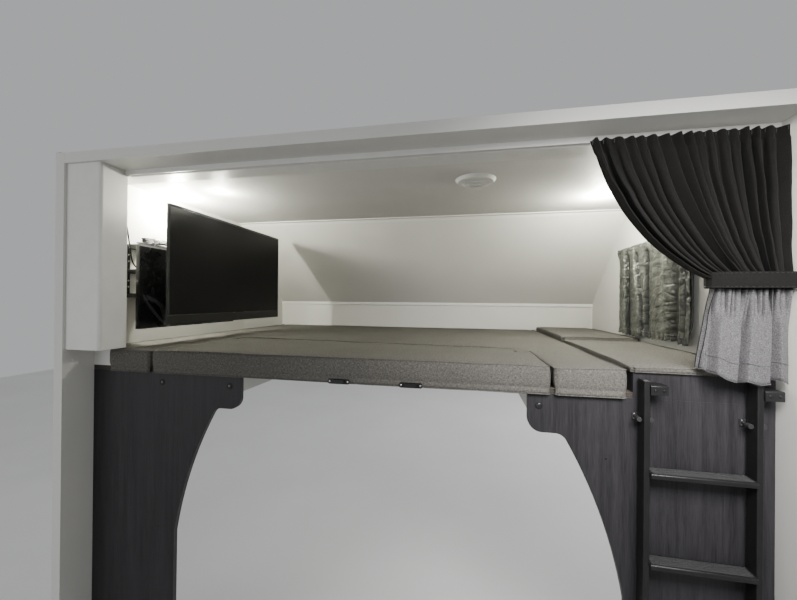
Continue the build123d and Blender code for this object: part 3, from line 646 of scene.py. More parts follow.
def cushion_outlines():
    left, right = SPLIT[0] + GAP, SPLIT[1] - GAP
    middle = [(left, BED_FRONT), (right, BED_FRONT), (right, seam_y(right) - GAP), (left, seam_y(left) - GAP)]
    left, right = SPLIT[0] - GAP, SPLIT[1] + GAP
    main = [(-1109, BED_FRONT), (left, BED_FRONT), (left, seam_y(left) + GAP), (right, seam_y(right) + GAP),
            (right, BED_FRONT), (811, BED_FRONT), (811, 1530), (-1196, 1530), (-1196, 58), (-1109, 58)]
    near = [(816, -14), (1195, -14), (1195, 787), (816, 787)]
    far = [(816, 793), (1195, 793), (1195, 1530), (816, 1530)]
    # name, outline, rounded corners, underside, top, whether its front edge hangs over the deck
    return [
        ("cushion_middle", middle, {0: 6, 1: 6, 2: 70, 3: 40}, BED_LOW, BED_HIGH, True),
        ("cushion_main", main, {0: 6, 1: 6, 2: 43, 3: 73, 4: 6, 5: 8, 6: 12, 7: 12}, BED_LOW, BED_HIGH, True),
        ("near_pad", near, {0: 10, 1: 10, 2: 10, 3: 10}, 1424.5, 1440.0, False),
        ("far_pad", far, {0: 14, 1: 14, 2: 14, 3: 14}, 1424.5, 1452.0, False),
    ]


PITCH_MM = 19.0


def cushion_form(outline, radii, low, high, lip):
    """A closed mesh of even quads in millimetres; the loops along its two sewn edges are found from it afterwards.
    """
    ring = round_corners(outline, radii)
    bm = bmesh.new()
    bm.faces.new([bm.verts.new((p.x, p.y, high)) for p in ring])
    cuts = []
    for axis in (0, 1):
        start, end = min(p[axis] for p in ring), max(p[axis] for p in ring)
        count = round((end - start) / PITCH_MM)
        cuts += [(axis, start + (end - start) * k / count) for k in range(1, count)]
    if lip:
        cuts = [c for c in cuts if c[0] == 0 or abs(c[1] - LIP_BACK) > PITCH_MM / 3] + [(1, LIP_BACK)]
    for axis, place in cuts:
        spot = (place, 0, 0) if axis == 0 else (0, place, 0)
        way = (1, 0, 0) if axis == 0 else (0, 1, 0)
        bmesh.ops.bisect_plane(bm, geom=bm.verts[:] + bm.edges[:] + bm.faces[:], plane_co=spot, plane_no=way)
    bmesh.ops.remove_doubles(bm, verts=bm.verts, dist=PITCH_MM * 0.22)
    top = bm.faces[:]
    made = bmesh.ops.extrude_face_region(bm, geom=top)
    for v in [g for g in made["geom"] if isinstance(g, bmesh.types.BMVert)]:
        v.co.z = low
    if lip:
        under = [f for f in bm.faces if all(abs(v.co.z - low) < 0.1 for v in f.verts)
                 and f.calc_center_median().y < LIP_BACK]
        made = bmesh.ops.extrude_face_region(bm, geom=under)
        for v in [g for g in made["geom"] if isinstance(g, bmesh.types.BMVert)]:
            v.co.z = LIP_LOW
    bmesh.ops.recalc_face_normals(bm, faces=bm.faces)
    rows = max(2, round((high - low) / 14))
    for k in range(1, rows):
        bmesh.ops.bisect_plane(bm, geom=bm.verts[:] + bm.edges[:] + bm.faces[:],
                               plane_co=(0, 0, low + (high - low) * k / rows), plane_no=(0, 0, 1))
    return bm


def rim_edges(bm):
    """Edges where the top or the underside meets an upright wall."""
    found = []
    for e in bm.edges:
        if len(e.link_faces) != 2:
            continue
        flat = sorted(abs(f.normal.z) for f in e.link_faces)
        if flat[0] < 0.3 and flat[1] > 0.7:
            found.append(e)
    return found


def chains(pairs):
    """Closed loops of vertex numbers from pairs that share an end."""
    beside = {}
    for a, b in pairs:
        beside.setdefault(a, []).append(b)
        beside.setdefault(b, []).append(a)
    loops = []
    left = set(beside)
    while left:
        loop = [min(left)]
        left.discard(loop[0])
        while True:
            ahead = [v for v in beside[loop[-1]] if v in left]
            if not ahead:
                break
            loop.append(ahead[0])
            left.discard(ahead[0])
        loops.append(loop)
    return loops


SWELL = 0.0075           # how far pressure may lift the top
BULGE = 0.0035           # and push out a side
SHRINK = 4.0             # the form's top starts this much lower
NARROW = 1.5             # its sides this much further in
TUCK = 6.0               # and its lower rim this much
SIM_FRAMES = 20


def swell(pieces):
    """Runs cloth pressure on all cushions at once, keeps their undersides flat and caps the travel."""
    scene = bpy.context.scene
    for piece, _ in pieces:
        cloth = piece.modifiers.new("Cloth", "CLOTH")
        cloth.settings.quality = 4
        cloth.settings.mass = 0.4
        cloth.settings.tension_stiffness = 25
        cloth.settings.compression_stiffness = 25
        cloth.settings.shear_stiffness = 8
        cloth.settings.bending_stiffness = 1.5
        cloth.settings.use_pressure = True
        cloth.settings.uniform_pressure_force = 4.0
        cloth.settings.effector_weights.gravity = 0.0
        cloth.settings.vertex_group_mass = "rest"
        cloth.collision_settings.use_collision = False
        cloth.point_cache.frame_start = 1
        cloth.point_cache.frame_end = SIM_FRAMES
    for number in range(1, SIM_FRAMES + 1):
        scene.frame_set(number)
    graph = bpy.context.evaluated_depsgraph_get()
    for piece, low in pieces:
        held = piece.evaluated_get(graph).to_mesh()
        moved = [v.co.copy() for v in held.vertices]
        piece.evaluated_get(graph).to_mesh_clear()
        piece.modifiers.clear()
        normals = [v.normal.copy() for v in piece.data.vertices]
        for v, normal, target in zip(piece.data.vertices, normals, moved):
            step = target - v.co
            step -= normal * min(0.0, step.dot(normal))
            limit = SWELL if abs(normal.z) > 0.5 else BULGE
            if step.length > limit:
                step *= limit / step.length
            v.co += step
        piece.data.update()
    scene.frame_set(1)


def settle(piece):
    """Small hollows and creases that foam and cover keep."""
    piece.data.update()
    normals = [v.normal.copy() for v in piece.data.vertices]
    for v, normal in zip(piece.data.vertices, normals):
        wide = noise.noise(v.co * 6.0)
        fine = noise.noise(v.co * 24.0 + Vector((3, 1, 2)))
        v.co += normal * (0.0016 * wide + 0.0007 * fine)


SEAM_R = 0.0017
STITCH_STEP = 0.008
STITCH_IN = 0.006


def stitch_row(build, line):
    """Short stitches just inside a closed upper rim."""
    area = sum(a.x * b.y - b.x * a.y for a, b in zip(line, line[1:] + line[:1]))
    inside = 1 if area > 0 else -1
    along = 0.0
    for a, b in zip(line, line[1:] + line[:1]):
        run = (b - a).length
        if run < 1e-5:
            continue
        way = (b - a) / run
        inward = Vector((-way.y, way.x, 0.1)) * inside * STITCH_IN
        while along < run:
            first = a + way * (along - 0.0022) + inward
            last = first + way * 0.0044
            middle = (first + last) / 2 + Vector((0, 0, 0.0004))
            sweep(build, [first, middle, last], circle(0.00045, 4), mark=1)
            along += STITCH_STEP
        along -= run


def sew(name, piece, loops, top):
    """A folded seam along each rim, and a row of stitches beside the upper one."""
    build = Build()
    for loop in loops:
        line = [piece.data.vertices[i].co.copy() for i in loop]
        sweep(build, line, circle(SEAM_R, 6), closed=True)
        if min(p.z for p in line) > top - 0.02:
            stitch_row(build, line)
    seams = show(name, build.mesh(name), "tweed", looks=("thread",))


def make_cushions():
    made = []
    for name, outline, radii, low, high, lip in cushion_outlines():
        bm = cushion_form(outline, radii, low, high, lip)
        bm.normal_update()
        bm.verts.index_update()
        loops = chains([(e.verts[0].index, e.verts[1].index) for e in rim_edges(bm)])
        crease = bm.edges.layers.float.new("crease_edge")
        for e in rim_edges(bm):
            e[crease] = 0.4
        deform = bm.verts.layers.deform.verify()
        floor = LIP_LOW if lip else low
        for v in bm.verts:
            resting = abs(v.co.z - low) < 0.2 and (not lip or v.co.y > LIP_BACK - 0.2)
            if resting or abs(v.co.z - floor) < 0.2:
                v[deform][0] = 1.0
        for v in bm.verts:
            sideways = Vector((v.normal.x, v.normal.y, 0))
            if v.co.z > low + 1:
                v.co -= Vector((v.normal.x * NARROW, v.normal.y * NARROW, v.normal.z * SHRINK))
            elif sideways.length > 0.3:
                v.co -= sideways.normalized() * TUCK
            v.co = at(*v.co)
        data = bpy.data.meshes.new(name + "_cover")
        bm.to_mesh(data)
        bm.free()
        data.polygons.foreach_set("use_smooth", [True] * len(data.polygons))
        piece = show(name + "_cover", data, "tweed")
        piece.vertex_groups.new(name="rest")
        made.append((piece, low, name, loops, at(0, 0, high).z))
    swell([(piece, low) for piece, low, *_ in made])
    for piece, low, name, loops, top in made:
        settle(piece)
        sew(name + "_seams", piece, loops, top)
        smooth = piece.modifiers.new("smooth", "SUBSURF")
        smooth.levels = smooth.render_levels = 1
        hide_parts(name)


# Curtains
def bezier(a, b, c, t):
    return tuple((1 - t) ** 2 * p + 2 * t * (1 - t) * q + t ** 2 * r for p, q, r in zip(a, b, c))


def lerp(a, b, t):
    return a + (b - a) * t


def ease(t):
    t = max(0.0, min(1.0, t))
    return t * t * (3 - 2 * t)


class Cloth:
    """A sheet of rows and columns of points in millimetres, given a thickness at the end."""

    def __init__(self, columns, rows):
        self.columns = columns
        self.rows = rows
        self.spots = [[None] * (columns + 1) for _ in range(rows + 1)]

    def size(self):
        """Width and length of the flat cloth, in metres."""
        widths = [sum((b - a).length for a, b in zip(row, row[1:])) for row in self.spots]
        lines = [list(line) for line in zip(*self.spots)]
        lengths = [sum((b - a).length for a, b in zip(line, line[1:])) for line in lines]
        return sum(widths) / len(widths), sum(lengths) / len(lengths)

    def mesh(self, name, thick, mark=None):
        n = self.columns + 1
        count = n * (self.rows + 1)
        front = [p for row in self.spots for p in row]
        flat = bpy.data.meshes.new(name + "_flat")
        quads = [(r * n + c, r * n + c + 1, (r + 1) * n + c + 1, (r + 1) * n + c)
                 for r in range(self.rows) for c in range(self.columns)]
        flat.from_pydata([tuple(p) for p in front], [], quads)
        flat.update()
        back = [p + v.normal * thick for p, v in zip(front, flat.vertices)]
        bpy.data.meshes.remove(flat)
        marks = [mark((k % self.columns) / self.columns, (k // self.columns) / self.rows) if mark else 0
                 for k in range(len(quads))]
        rim = ([r * n for r in range(self.rows)] + [self.rows * n + c for c in range(self.columns)]
               + [r * n + self.columns for r in range(self.rows, 0, -1)] + list(range(self.columns, 0, -1)))
        faces = [tuple(reversed(f)) for f in quads] + [tuple(i + count for i in f) for f in quads]
        for a, b in zip(rim, rim[1:] + rim[:1]):
            faces.append((a, b, b + count, a + count))
            marks.append(mark(0.5, min(a, count - 1) // n / self.rows) if mark else 0)
        marks = marks[:len(quads)] * 2 + marks[len(quads):]
        data = bpy.data.meshes.new(name)
        data.from_pydata([tuple(p) for p in front + back], [], faces)
        data.polygons.foreach_set("material_index", marks)
        data.polygons.foreach_set("use_smooth", [True] * len(faces))
        data.update()
        bm = bmesh.new()
        bm.from_mesh(data)
        bmesh.ops.recalc_face_normals(bm, faces=bm.faces[:])
        bm.to_mesh(data)
        bm.free()
        return data


# Privacy curtain: from the track down and across to its tieback, then a short tail. Each row gives
# (X, Z) at the leading edge and at the wall edge.
DRAPE_TOP = ((686, 2132), (1190, 2132))
DRAPE_BOW = ((775, 1815), (1190, 1900))
DRAPE_TIE = ((1008, 1702), (1188, 1702))
DRAPE_LOW = ((980, 1452), (1190, 1424))
DRAPE_Y = -49.0
DRAPE_FOLDS = 17
DRAPE_TAIL = 0.70        # share of the rows above the tie
TIE_LOW, TIE_HIGH = 1680.0, 1725.0


# Below the tie the cloth opens into broad flat panels: (place across, depth), and its hem: (place, Z)
TAIL_FOLDS = [(0.0, 0.9), (0.05, -0.3), (0.085, 0.95), (0.115, -0.95), (0.40, -0.7), (0.445, 0.9), (0.485, -0.9),
              (0.80, -0.55), (0.845, 0.85), (0.88, -0.85), (1.0, -0.2)]
TAIL_HEM = [(0.0, 1453), (0.115, 1438), (0.44, 1411), (0.485, 1417), (0.80, 1413), (0.845, 1424), (1.0, 1420)]


def along_table(rows, u):
    for (a, low), (b, high) in zip(rows, rows[1:]):
        if u <= b:
            return lerp(low, high, (u - a) / (b - a))
    return rows[-1][1]


def tail_fold(u, t):
    drift = u + 0.02 * math.sin(4.0 * t + 6.0 * u) * t
    return sum(along_table(TAIL_FOLDS, max(0.0, min(1.0, drift + k * 0.011))) for k in (-2, -1, 0, 1, 2)) / 5


def drape_fold(u, v):
    """Depth of the folds, from -1 to 1, across the cloth: uneven pleats that keep their lines."""
    bend = u + 0.010 * math.sin(9.0 * u + 1.0) + 0.007 * math.sin(23.0 * u + 2.0 * v)
    wave = math.sin(2 * math.pi * DRAPE_FOLDS * bend)
    small = 0.3 * math.sin(2 * math.pi * DRAPE_FOLDS * 0.62 * bend + 1.3 + 1.5 * v)
    return max(-1.0, min(1.0, wave * (0.85 + 0.25 * math.sin(31.0 * u)) + small))


def drape_spot(u, v):
    uneven = 0.82 + 0.28 * math.sin(5.1 * u * math.pi + 0.7)
    if v <= DRAPE_TAIL:
        t = v / DRAPE_TAIL
        ends = [bezier(DRAPE_TOP[k], DRAPE_BOW[k], DRAPE_TIE[k], t) for k in (0, 1)]
        depth = lerp(9.0, 19.0, ease(t * 3.0)) * uneven
        depth = lerp(depth, 19.0, ease((t - 0.8) / 0.2))
    else:
        t = (v - DRAPE_TAIL) / (1 - DRAPE_TAIL)
        flare = ease(t) * 0.6 + t * 0.4
        ends = [(lerp(DRAPE_TIE[k][0], DRAPE_LOW[k][0], flare), lerp(DRAPE_TIE[k][1], along_table(TAIL_HEM, u), t))
                for k in (0, 1)]
        depth = lerp(19.0, 27.0, ease(t))
    x = lerp(ends[0][0], ends[1][0], u)
    z = lerp(ends[0][1], ends[1][1], u)
    fold = drape_fold(u, v)
    if v > DRAPE_TAIL:
        fold = lerp(fold, tail_fold(u, t), ease(t * 2.2))
    if v < 0.03:
        z -= 2.5 * (0.5 + 0.5 * fold) * (1 - v / 0.03)
    if v > DRAPE_TAIL:
        z += 3.0 * t * math.sin(17.0 * u) - 3.0 * t * fold
    spot = Vector((x, DRAPE_Y, z)) / 1000
    crumple = 3.2 * noise.noise(spot * 9.0) + 1.4 * noise.noise(spot * 28.0)
    y = DRAPE_Y + depth * fold + crumple
    sway = 0.35 if v < 0.05 else 1.0 - ease((v - DRAPE_TAIL) * 6.0)
    x += 5.0 * uneven * math.cos(2 * math.pi * DRAPE_FOLDS * u) * sway
    return Vector((min(x + 2.0 * noise.noise(spot * 14.0), 1193.0), max(-79.0, min(-19.0, y)), z))


def make_privacy_curtain():
    cloth = Cloth(330, 110)
    for r in range(cloth.rows + 1):
        for c in range(cloth.columns + 1):
            cloth.spots[r][c] = at(*drape_spot(c / cloth.columns, r / cloth.rows))
    width, length = cloth.size()
    # painted light: faces below the tie take the lighter look in slot 1
    data = cloth.mesh("drape", 0.0014, mark=lambda u, v: 1 if v > DRAPE_TAIL + 0.02 else 0)
    curtain = show("privacy_curtain_cloth", data, "drape", looks=("heather",))
    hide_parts("privacy_curtain")
    hems = Build()
    for column in (0, 9):
        sweep(hems, [cloth.spots[r][column] + Vector((0, -0.0009, 0)) for r in range(0, cloth.rows + 1)],
              circle(0.0011, 6))
    # the hem rows also take the tail's painted-light look
    for row in (cloth.rows, cloth.rows - 6):
        sweep(hems, [p + Vector((0, -0.0008, 0)) for p in cloth.spots[row][::2]], circle(0.0011, 6), mark=1)
    hem = show("privacy_curtain_hems", hems.mesh("drape_hems"), "drape", looks=("heather",))
    gliders = Build()
    for k in range(DRAPE_FOLDS + 1):
        u = min(0.995, max(0.005, (k + 0.25) / DRAPE_FOLDS))
        top = cloth.spots[0][round(u * cloth.columns)]
        place = at(0, -7.5, 2139)
        block(gliders, (top.x - 0.004, place.y - 0.0035, place.z - 0.0005), (top.x + 0.004, place.y + 0.0035,
                                                                        place.z + 0.008), 0.001)
        hook = [(top.x, place.y, place.z), (top.x, place.y - 0.004, place.z - 0.007),
                (top.x, lerp(place.y, top.y, 0.6), place.z - 0.010), (top.x, top.y, top.z - 0.004),
                (top.x, top.y + 0.001, top.z - 0.014)]
        sweep(gliders, hook, circle(0.0012, 6))
    hooks = show("curtain_gliders", gliders.mesh("gliders"), "rough_black")
    print("privacy curtain flat", round(width, 3), round(length, 3))


def make_tieback():
    """A padded strap round the gathered curtain, its two ends on one button on the wall."""
    middle = (TIE_LOW + TIE_HIGH) / 2
    path = [(1199, -77), (1170, -81), (1120, -83.5), (1060, -83), (1020, -79), (1000, -66), (996, -50),
            (1000, -33), (1020, -20), (1060, -16.5), (1120, -16), (1170, -17), (1199, -19)]
    line = []
    for a, b in zip(path, path[1:]):
        for k in range(4):
            line.append(at(lerp(a[0], b[0], k / 4), lerp(a[1], b[1], k / 4), middle))
    line.append(at(*path[-1], middle))
    build = Build()
    half = (TIE_HIGH - TIE_LOW) / 2000
    section = [(-0.0018, -half), (-0.0026, -half * 0.6), (-0.0028, 0), (-0.0026, half * 0.6),
               (-0.0018, half), (0.0018, half), (0.0022, 0), (0.0018, -half)]
    sweep(build, line, section)
    for edge in (-half + 0.004, half - 0.004):
        dashes = [p + Vector((0, 0, edge)) for p in line]
        for a, b in zip(dashes, dashes[1:]):
            way = (b - a).normalized()
            out = way.cross(Vector((0, 0, 1))) * -0.0026
            sweep(build, [a + out, a + out + (b - a) * 0.55], circle(0.0006, 4), mark=1)
    strap = show("curtain_tieback_strap", build.mesh("tieback"), "drape", looks=("rough_black",))
    button = Build()
    for y in (-72, -24):
        button.add(*lathe([(0.009, 0), (0.009, 0.002), (0.0075, 0.0038), (0.004, 0.0046), (0, 0.0048)], 24),
                   facing(at(1196, y, middle), (-1, 0, 0)))
    snap = show("curtain_tieback_snaps", button.mesh("snaps"), "steel")
    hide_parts("curtain_tieback")


# Window curtain: gathered on a rod. Section of its folds, the forward end first: Y under the rod, Y at the
# hem, and X, small where the cloth stands out into the room
ROD_X = 1171.0
ROD_Z = 1927.0
WINDOW_FOLDS = [(1012, 1012, 1180), (1004, 1003, 1172), (985, 982, 1168), (945, 940, 1163), (928, 925, 1159),
                (920, 916, 1163), (913, 908, 1184), (903, 896, 1184), (893, 886, 1178), (872, 852, 1171),
                (838, 790, 1163), (822, 764, 1159), (814, 754, 1164), (806, 744, 1184), (792, 728, 1184),
                (780, 716, 1172), (760, 706, 1164), (712, 701, 1160), (701, 695, 1164), (691, 686, 1183),
                (681, 676, 1183), (668, 664, 1172), (640, 636, 1167), (585, 590, 1162), (552, 560, 1163),
                (525, 522, 1159), (507, 505, 1161), (492, 486, 1172), (470, 462, 1184), (450, 444, 1184),
                (432, 430, 1174), (412, 414, 1167), (398, 400, 1173), (384, 386, 1184), (368, 370, 1170),
                (357, 358, 1160), (346, 346, 1166)]
WINDOW_HEM_Z = 1474.0


def window_section(u, t):
    """(Y, X) at a share of the way along the folded section, its folds drifting from rod to hem."""
    spans = len(WINDOW_FOLDS) - 1
    k = min(spans - 1, int(u * spans))
    ends = [(lerp(top, low, ease(t * 1.2)), x) for top, low, x in WINDOW_FOLDS[max(0, k - 1):k + 3]]
    if k == 0:
        ends.insert(0, ends[0])
    if len(ends) < 4:
        ends.append(ends[-1])
    f = u * spans - k
    weights = (f * (2 * f - 1 - f * f) / 2, 1 + f * f * (3 * f - 5) / 2, f * (1 + 4 * f - 3 * f * f) / 2,
               f * f * (f - 1) / 2)
    return [sum(w * p[i] for w, p in zip(weights, ends)) for i in (0, 1)]


def window_spot(u, v):
    pocket = 0.07
    gather = math.sin(2 * math.pi * 30 * u + 0.8 * math.sin(12 * u))
    if v < pocket:
        turn = math.radians(lerp(-70, 205, v / pocket))
        reach = 7.4 + 1.1 * gather
        return Vector((ROD_X + reach * math.cos(turn), window_section(u, 0.0)[0], ROD_Z + reach * math.sin(turn)))
    t = (v - pocket) / (1 - pocket)
    z = lerp(ROD_Z - 3.0, WINDOW_HEM_Z, t)
    y, folded = window_section(u, t)
    open_up = ease(t * 7.0)
    x = lerp(1163.0 + 2.2 * gather, folded, open_up)
    spot = Vector((0.0, y, z)) / 1000
    long = Vector((5.0, spot.y * 9.0, spot.z * 22.0))
    crease = abs(noise.noise(long)) + 0.45 * abs(noise.noise(long * 2.3)) + 0.2 * abs(noise.noise(long * 5.1))
    wide = noise.noise(Vector((2.0, spot.y * 5.0, spot.z * 9.0)))
    x += open_up * (4.6 * crease - 1.2 + 2.0 * wide)
    hem = ease((t - 0.9) / 0.1)
    x += hem * 4.0 * gather
    z += hem * (4.0 * math.sin(19.0 * u) + 3.0 * gather) - 6.0 * hem * math.exp(-((u - 0.18) / 0.2) ** 2)
    return Vector((max(1157.5, min(1184.0, x)), y, z))


def make_window_curtain():
    cloth = Cloth(340, 130)
    for r in range(cloth.rows + 1):
        for c in range(cloth.columns + 1):
            cloth.spots[r][c] = at(*window_spot(c / cloth.columns, r / cloth.rows))
    width, length = cloth.size()
    curtain = show("window_curtain_cloth", cloth.mesh("window_cloth", 0.0006), "satin")
    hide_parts("window_curtain")
    hems = Build()
    out = Vector((-0.0006, 0, 0))
    for row in (11, cloth.rows - 7):
        for c in range(0, cloth.columns - 2, 3):
            a, b = cloth.spots[row][c] + out, cloth.spots[row][c + 2] + out
            sweep(hems, [a, (a + b) / 2 + out * 0.5, b], circle(0.0005, 4))
    hem = show("window_curtain_stitching", hems.mesh("window_stitching"), "thread")
    print("window curtain flat", round(width, 3), round(length, 3))


# Cords
LEAD_ROUTE = [(-1186, 80, 1990), (-1154, 80, 1990), (-1144, 90, 1948), (-1148, 102, 1893),
              (-1150, 113, 1832), (-1148, 121, 1796), (-1146, 132, 1781), (-1145, 142, 1775.5),
              (-1145, 156, 1775.5)]
LEAD_DIAMETER = 0.006


def cord_curve(name, points, diameter, look, body):
    """A round cord on a smooth NURBS line."""
    data = bpy.data.curves.new(name, "CURVE")
    data.dimensions = "3D"
    data.bevel_depth = diameter / 2
    data.bevel_resolution = 4
    data.use_fill_caps = True
    spline = data.splines.new("NURBS")
    spline.points.add(len(points) - 1)
    for point, place in zip(spline.points, points):
        point.co = (*place, 1.0)
    spline.order_u = 3
    spline.use_endpoint_u = True
    spline.resolution_u = 10
    data.materials.append(M[look])
    piece = bpy.data.objects.new(name, data)
    bpy.context.scene.collection.objects.link(piece)
    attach(piece, body)
    return piece


def hexagon(across):
    r = across / 2 / math.cos(math.radians(30))
    return [(r * math.cos(math.radians(60 * k)), r * math.sin(math.radians(60 * k))) for k in range(6)]


def make_lead():
    """Aerial lead with its two screw-on connectors, and the saddle that holds the lower one."""
    lead = cord_curve("aerial_lead", [at(*p) for p in LEAD_ROUTE], LEAD_DIAMETER, "jacket", "root")
    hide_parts("tv_lead")
    nuts = Build()
    socket = facing(at(*LEAD_ROUTE[0]), (1, 0, 0))
    nuts.add(*prism(hexagon(0.0105), -0.007, 0.003, 0.0008), socket)
    nuts.add(*lathe([(0.0036, 0.003), (0.0042, 0.004), (0.0042, 0.013), (0.0034, 0.0145)], 20), socket)
    for k in range(9):
        z = 0.0042 + k * 0.001
        nuts.add(*lathe([(0.0042, z), (0.0045, z + 0.0003), (0.0042, z + 0.0006)], 20), socket)
    upper = show("lead_outlet_connector", nuts.mesh("upper_nut"), "nickel")
    boot = Build()
    boot.add(*lathe([(0.0047, 0.0), (0.0047, 0.012), (0.0042, 0.015), (0.0036, 0.026), (0.0031, 0.036),
                     (0.0029, 0.036)], 20), facing(at(-1186 + 14, 80, 1990), (1, 0, -0.06)))
    relief = show("lead_outlet_boot", boot.mesh("outlet_boot"), "rubber")
    lower = Build()
    end = facing(at(*LEAD_ROUTE[-1]), (0, 1, 0))
    lower.add(*lathe([(0, -0.012), (0.0034, -0.012), (0.0044, -0.002), (0.0044, 0.006)], 20), end, 1)
    lower.add(*lathe([(0.0036, 0.004), (0.005, 0.005), (0.005, 0.014), (0.0044, 0.015)], 20), end)
    lower.add(*prism(hexagon(0.0105), 0.014, 0.026, 0.0008), end)
    lower.add(*lathe([(0.0045, 0.026), (0.0045, 0.0315), (0, 0.0315)], 20), end)
    for k in range(5):
        z = 0.0265 + k * 0.001
        lower.add(*lathe([(0.0045, z), (0.0049, z + 0.0003), (0.0045, z + 0.0006)], 20), end)
    block(lower, at(-1153, 170, 1770), at(-1137, 178, 1776), 0.0008)
    for side in (-1153, -1139):
        block(lower, at(side, 170, 1774), at(side + 2, 178, 1781), 0.0006)
    plug = show("lead_plug", lower.mesh("lower_plug"), "nickel", looks=("rubber",))
    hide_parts("tv_lead_plug")


# Folded spare cables on the board's top edge
HANK_MIDDLE = -1042.0
HANK_BLOCK_Y = 268.0
HANK_FAR = 236.0              # Y where the far folds begin
FOLD_SIDE = 0.414             # control points of a half turn, as shares of its radius
# One row a cable: name, look, diameter, half width, height of its first layer, pitch, layers, where its
# near folds begin, length in metres
HANKS = [
    ("spare_cable", "jacket", 4.4, 15.4, 1878.4, 5.6, 4, 88.0, 1.574),
    ("spare_grey_cable", "grey_jacket", 4.0, 13.8, 1868.4, 4.8, 2, 62.0, 0.88),
]


def hank_route(half, low, pitch, layers, near, seed):
    """Runs to and fro along the board, with a half turn at each end."""
    draw = random.Random(seed)
    points = [(HANK_MIDDLE - half * 0.5, HANK_BLOCK_Y + 3, low + 2),
              (HANK_MIDDLE - half * 0.7, HANK_BLOCK_Y - 10, low + 1)]
    side = -1
    for layer in range(layers):
        far = HANK_FAR
        for start, stop in ((far, near), (near, far)):
            x = HANK_MIDDLE + side * half
            z = low + pitch * layer
            past = 1 if stop > start else -1
            reach = stop + past * draw.uniform(-7, 3)
            for t in (0.08, 0.3, 0.5, 0.72, 0.92):
                wobble = 1.3 * math.sin(9 * t + layer + seed) + draw.uniform(-0.9, 0.9)
                points.append((x + side * wobble, lerp(start, stop, t), z + draw.uniform(-0.9, 1.4)))
            if stop == far and layer == layers - 1:
                break
            rise = pitch / 4 if stop == far else 0.0
            for step, (across, along) in enumerate(((1, FOLD_SIDE), (FOLD_SIDE, 1), (-FOLD_SIDE, 1),
                                                    (-1, FOLD_SIDE))):
                points.append((HANK_MIDDLE + side * half * across, reach + past * half * along,
                               z + rise * (step + 0.5)))
            side = -side
    top = low + pitch * (layers - 1)
    for across, back, drop in ((1.0, 26, 0), (0.8, 14, 1), (0.5, 5, 2), (0.4, -3, 2.5)):
        points.append((HANK_MIDDLE + half * across, HANK_BLOCK_Y - back, top - drop))
    return points


def make_hanks():
    """Two spare cables folded on the board and held by one white tie."""
    tie = Build()
    y = 114.0
    ring = [(HANK_MIDDLE + a, y, 1882.6 + b) for a, b in rounded(39.0, 33.0, 11.0, 4)]
    flat = [(-0.0006, -0.0022), (0.0006, -0.0022), (0.0006, 0.0022), (-0.0006, 0.0022)]
    sweep(tie, [at(*p) for p in ring], flat, closed=True, up=(0, 1, 0))
    block(tie, at(HANK_MIDDLE + 3, y - 3.4, 1898.0), at(HANK_MIDDLE + 8.5, y + 3.4, 1902.2), 0.0006)
    tail = [(HANK_MIDDLE + 5.5, y, 1900.5), (HANK_MIDDLE + 8, y + 1, 1903.5), (HANK_MIDDLE + 13, y + 3, 1904.5),
            (HANK_MIDDLE + 20, y + 5, 1903)]
    sweep(tie, [at(*p) for p in tail], flat, up=(0, 1, 0))
    band = show("spare_cable_tie", tie.mesh("tie"), "nylon", body="tv_swing")
    for seed, (name, look, diameter, half, low, pitch, layers, near, length) in enumerate(HANKS, 3):
        line = [at(*p) for p in hank_route(half, low, pitch, layers, near, seed)]
        cable = cord_curve(name, line, diameter / 1000, look, "tv_swing")
        if look == "jacket":
            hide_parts("tv_cable_hank")


# Small hardware. Numbers are millimetres, from the coach floor and the partition's aft face
CAD_EDGES = {
    0.0012: ("header_beam", "left_jamb", "jamb_base", "bulkhead_left", "bulkhead_right", "step_riser",
             "step_top", "step_rail", "bunk_deck", "bridge_board", "ledge_trim", "tv_board"),
    0.0007: ("ladder_treads", "ladder_hooks", "ladder_feet", "ladder_clips", "footman_loops", "tv_wall_frame",
             "tv_swing_frame", "tv_tilt_cheeks", "tv_tilt_plate", "tv_housing", "tv_cable_block",
             "window_curtain_rod", "window_ring", "corner_rail_left", "corner_rail_right", "window_frame"),
    0.0035: ("roof_panel", "side_wall_left", "side_wall_right", "slope_panel", "front_wall", "floor_pan"),
}


def soften_edges():
    """Breaks the CAD pieces' sharp edges, so that they catch the light."""
    for width, names in CAD_EDGES.items():
        for name in names:
            weld = NODES[name].modifiers.new("weld", "WELD")
            weld.merge_threshold = 0.00002
            edge = NODES[name].modifiers.new("edge", "BEVEL")
            edge.width = width
            edge.segments = 2
            edge.limit_method = "ANGLE"
            edge.angle_limit = math.radians(38)
            edge.harden_normals = True


def piece(name, build, look, slot, body="root", looks=(), sharp=35):
    made = show(name, build.mesh(name, sharp), look, body, looks)
    return made


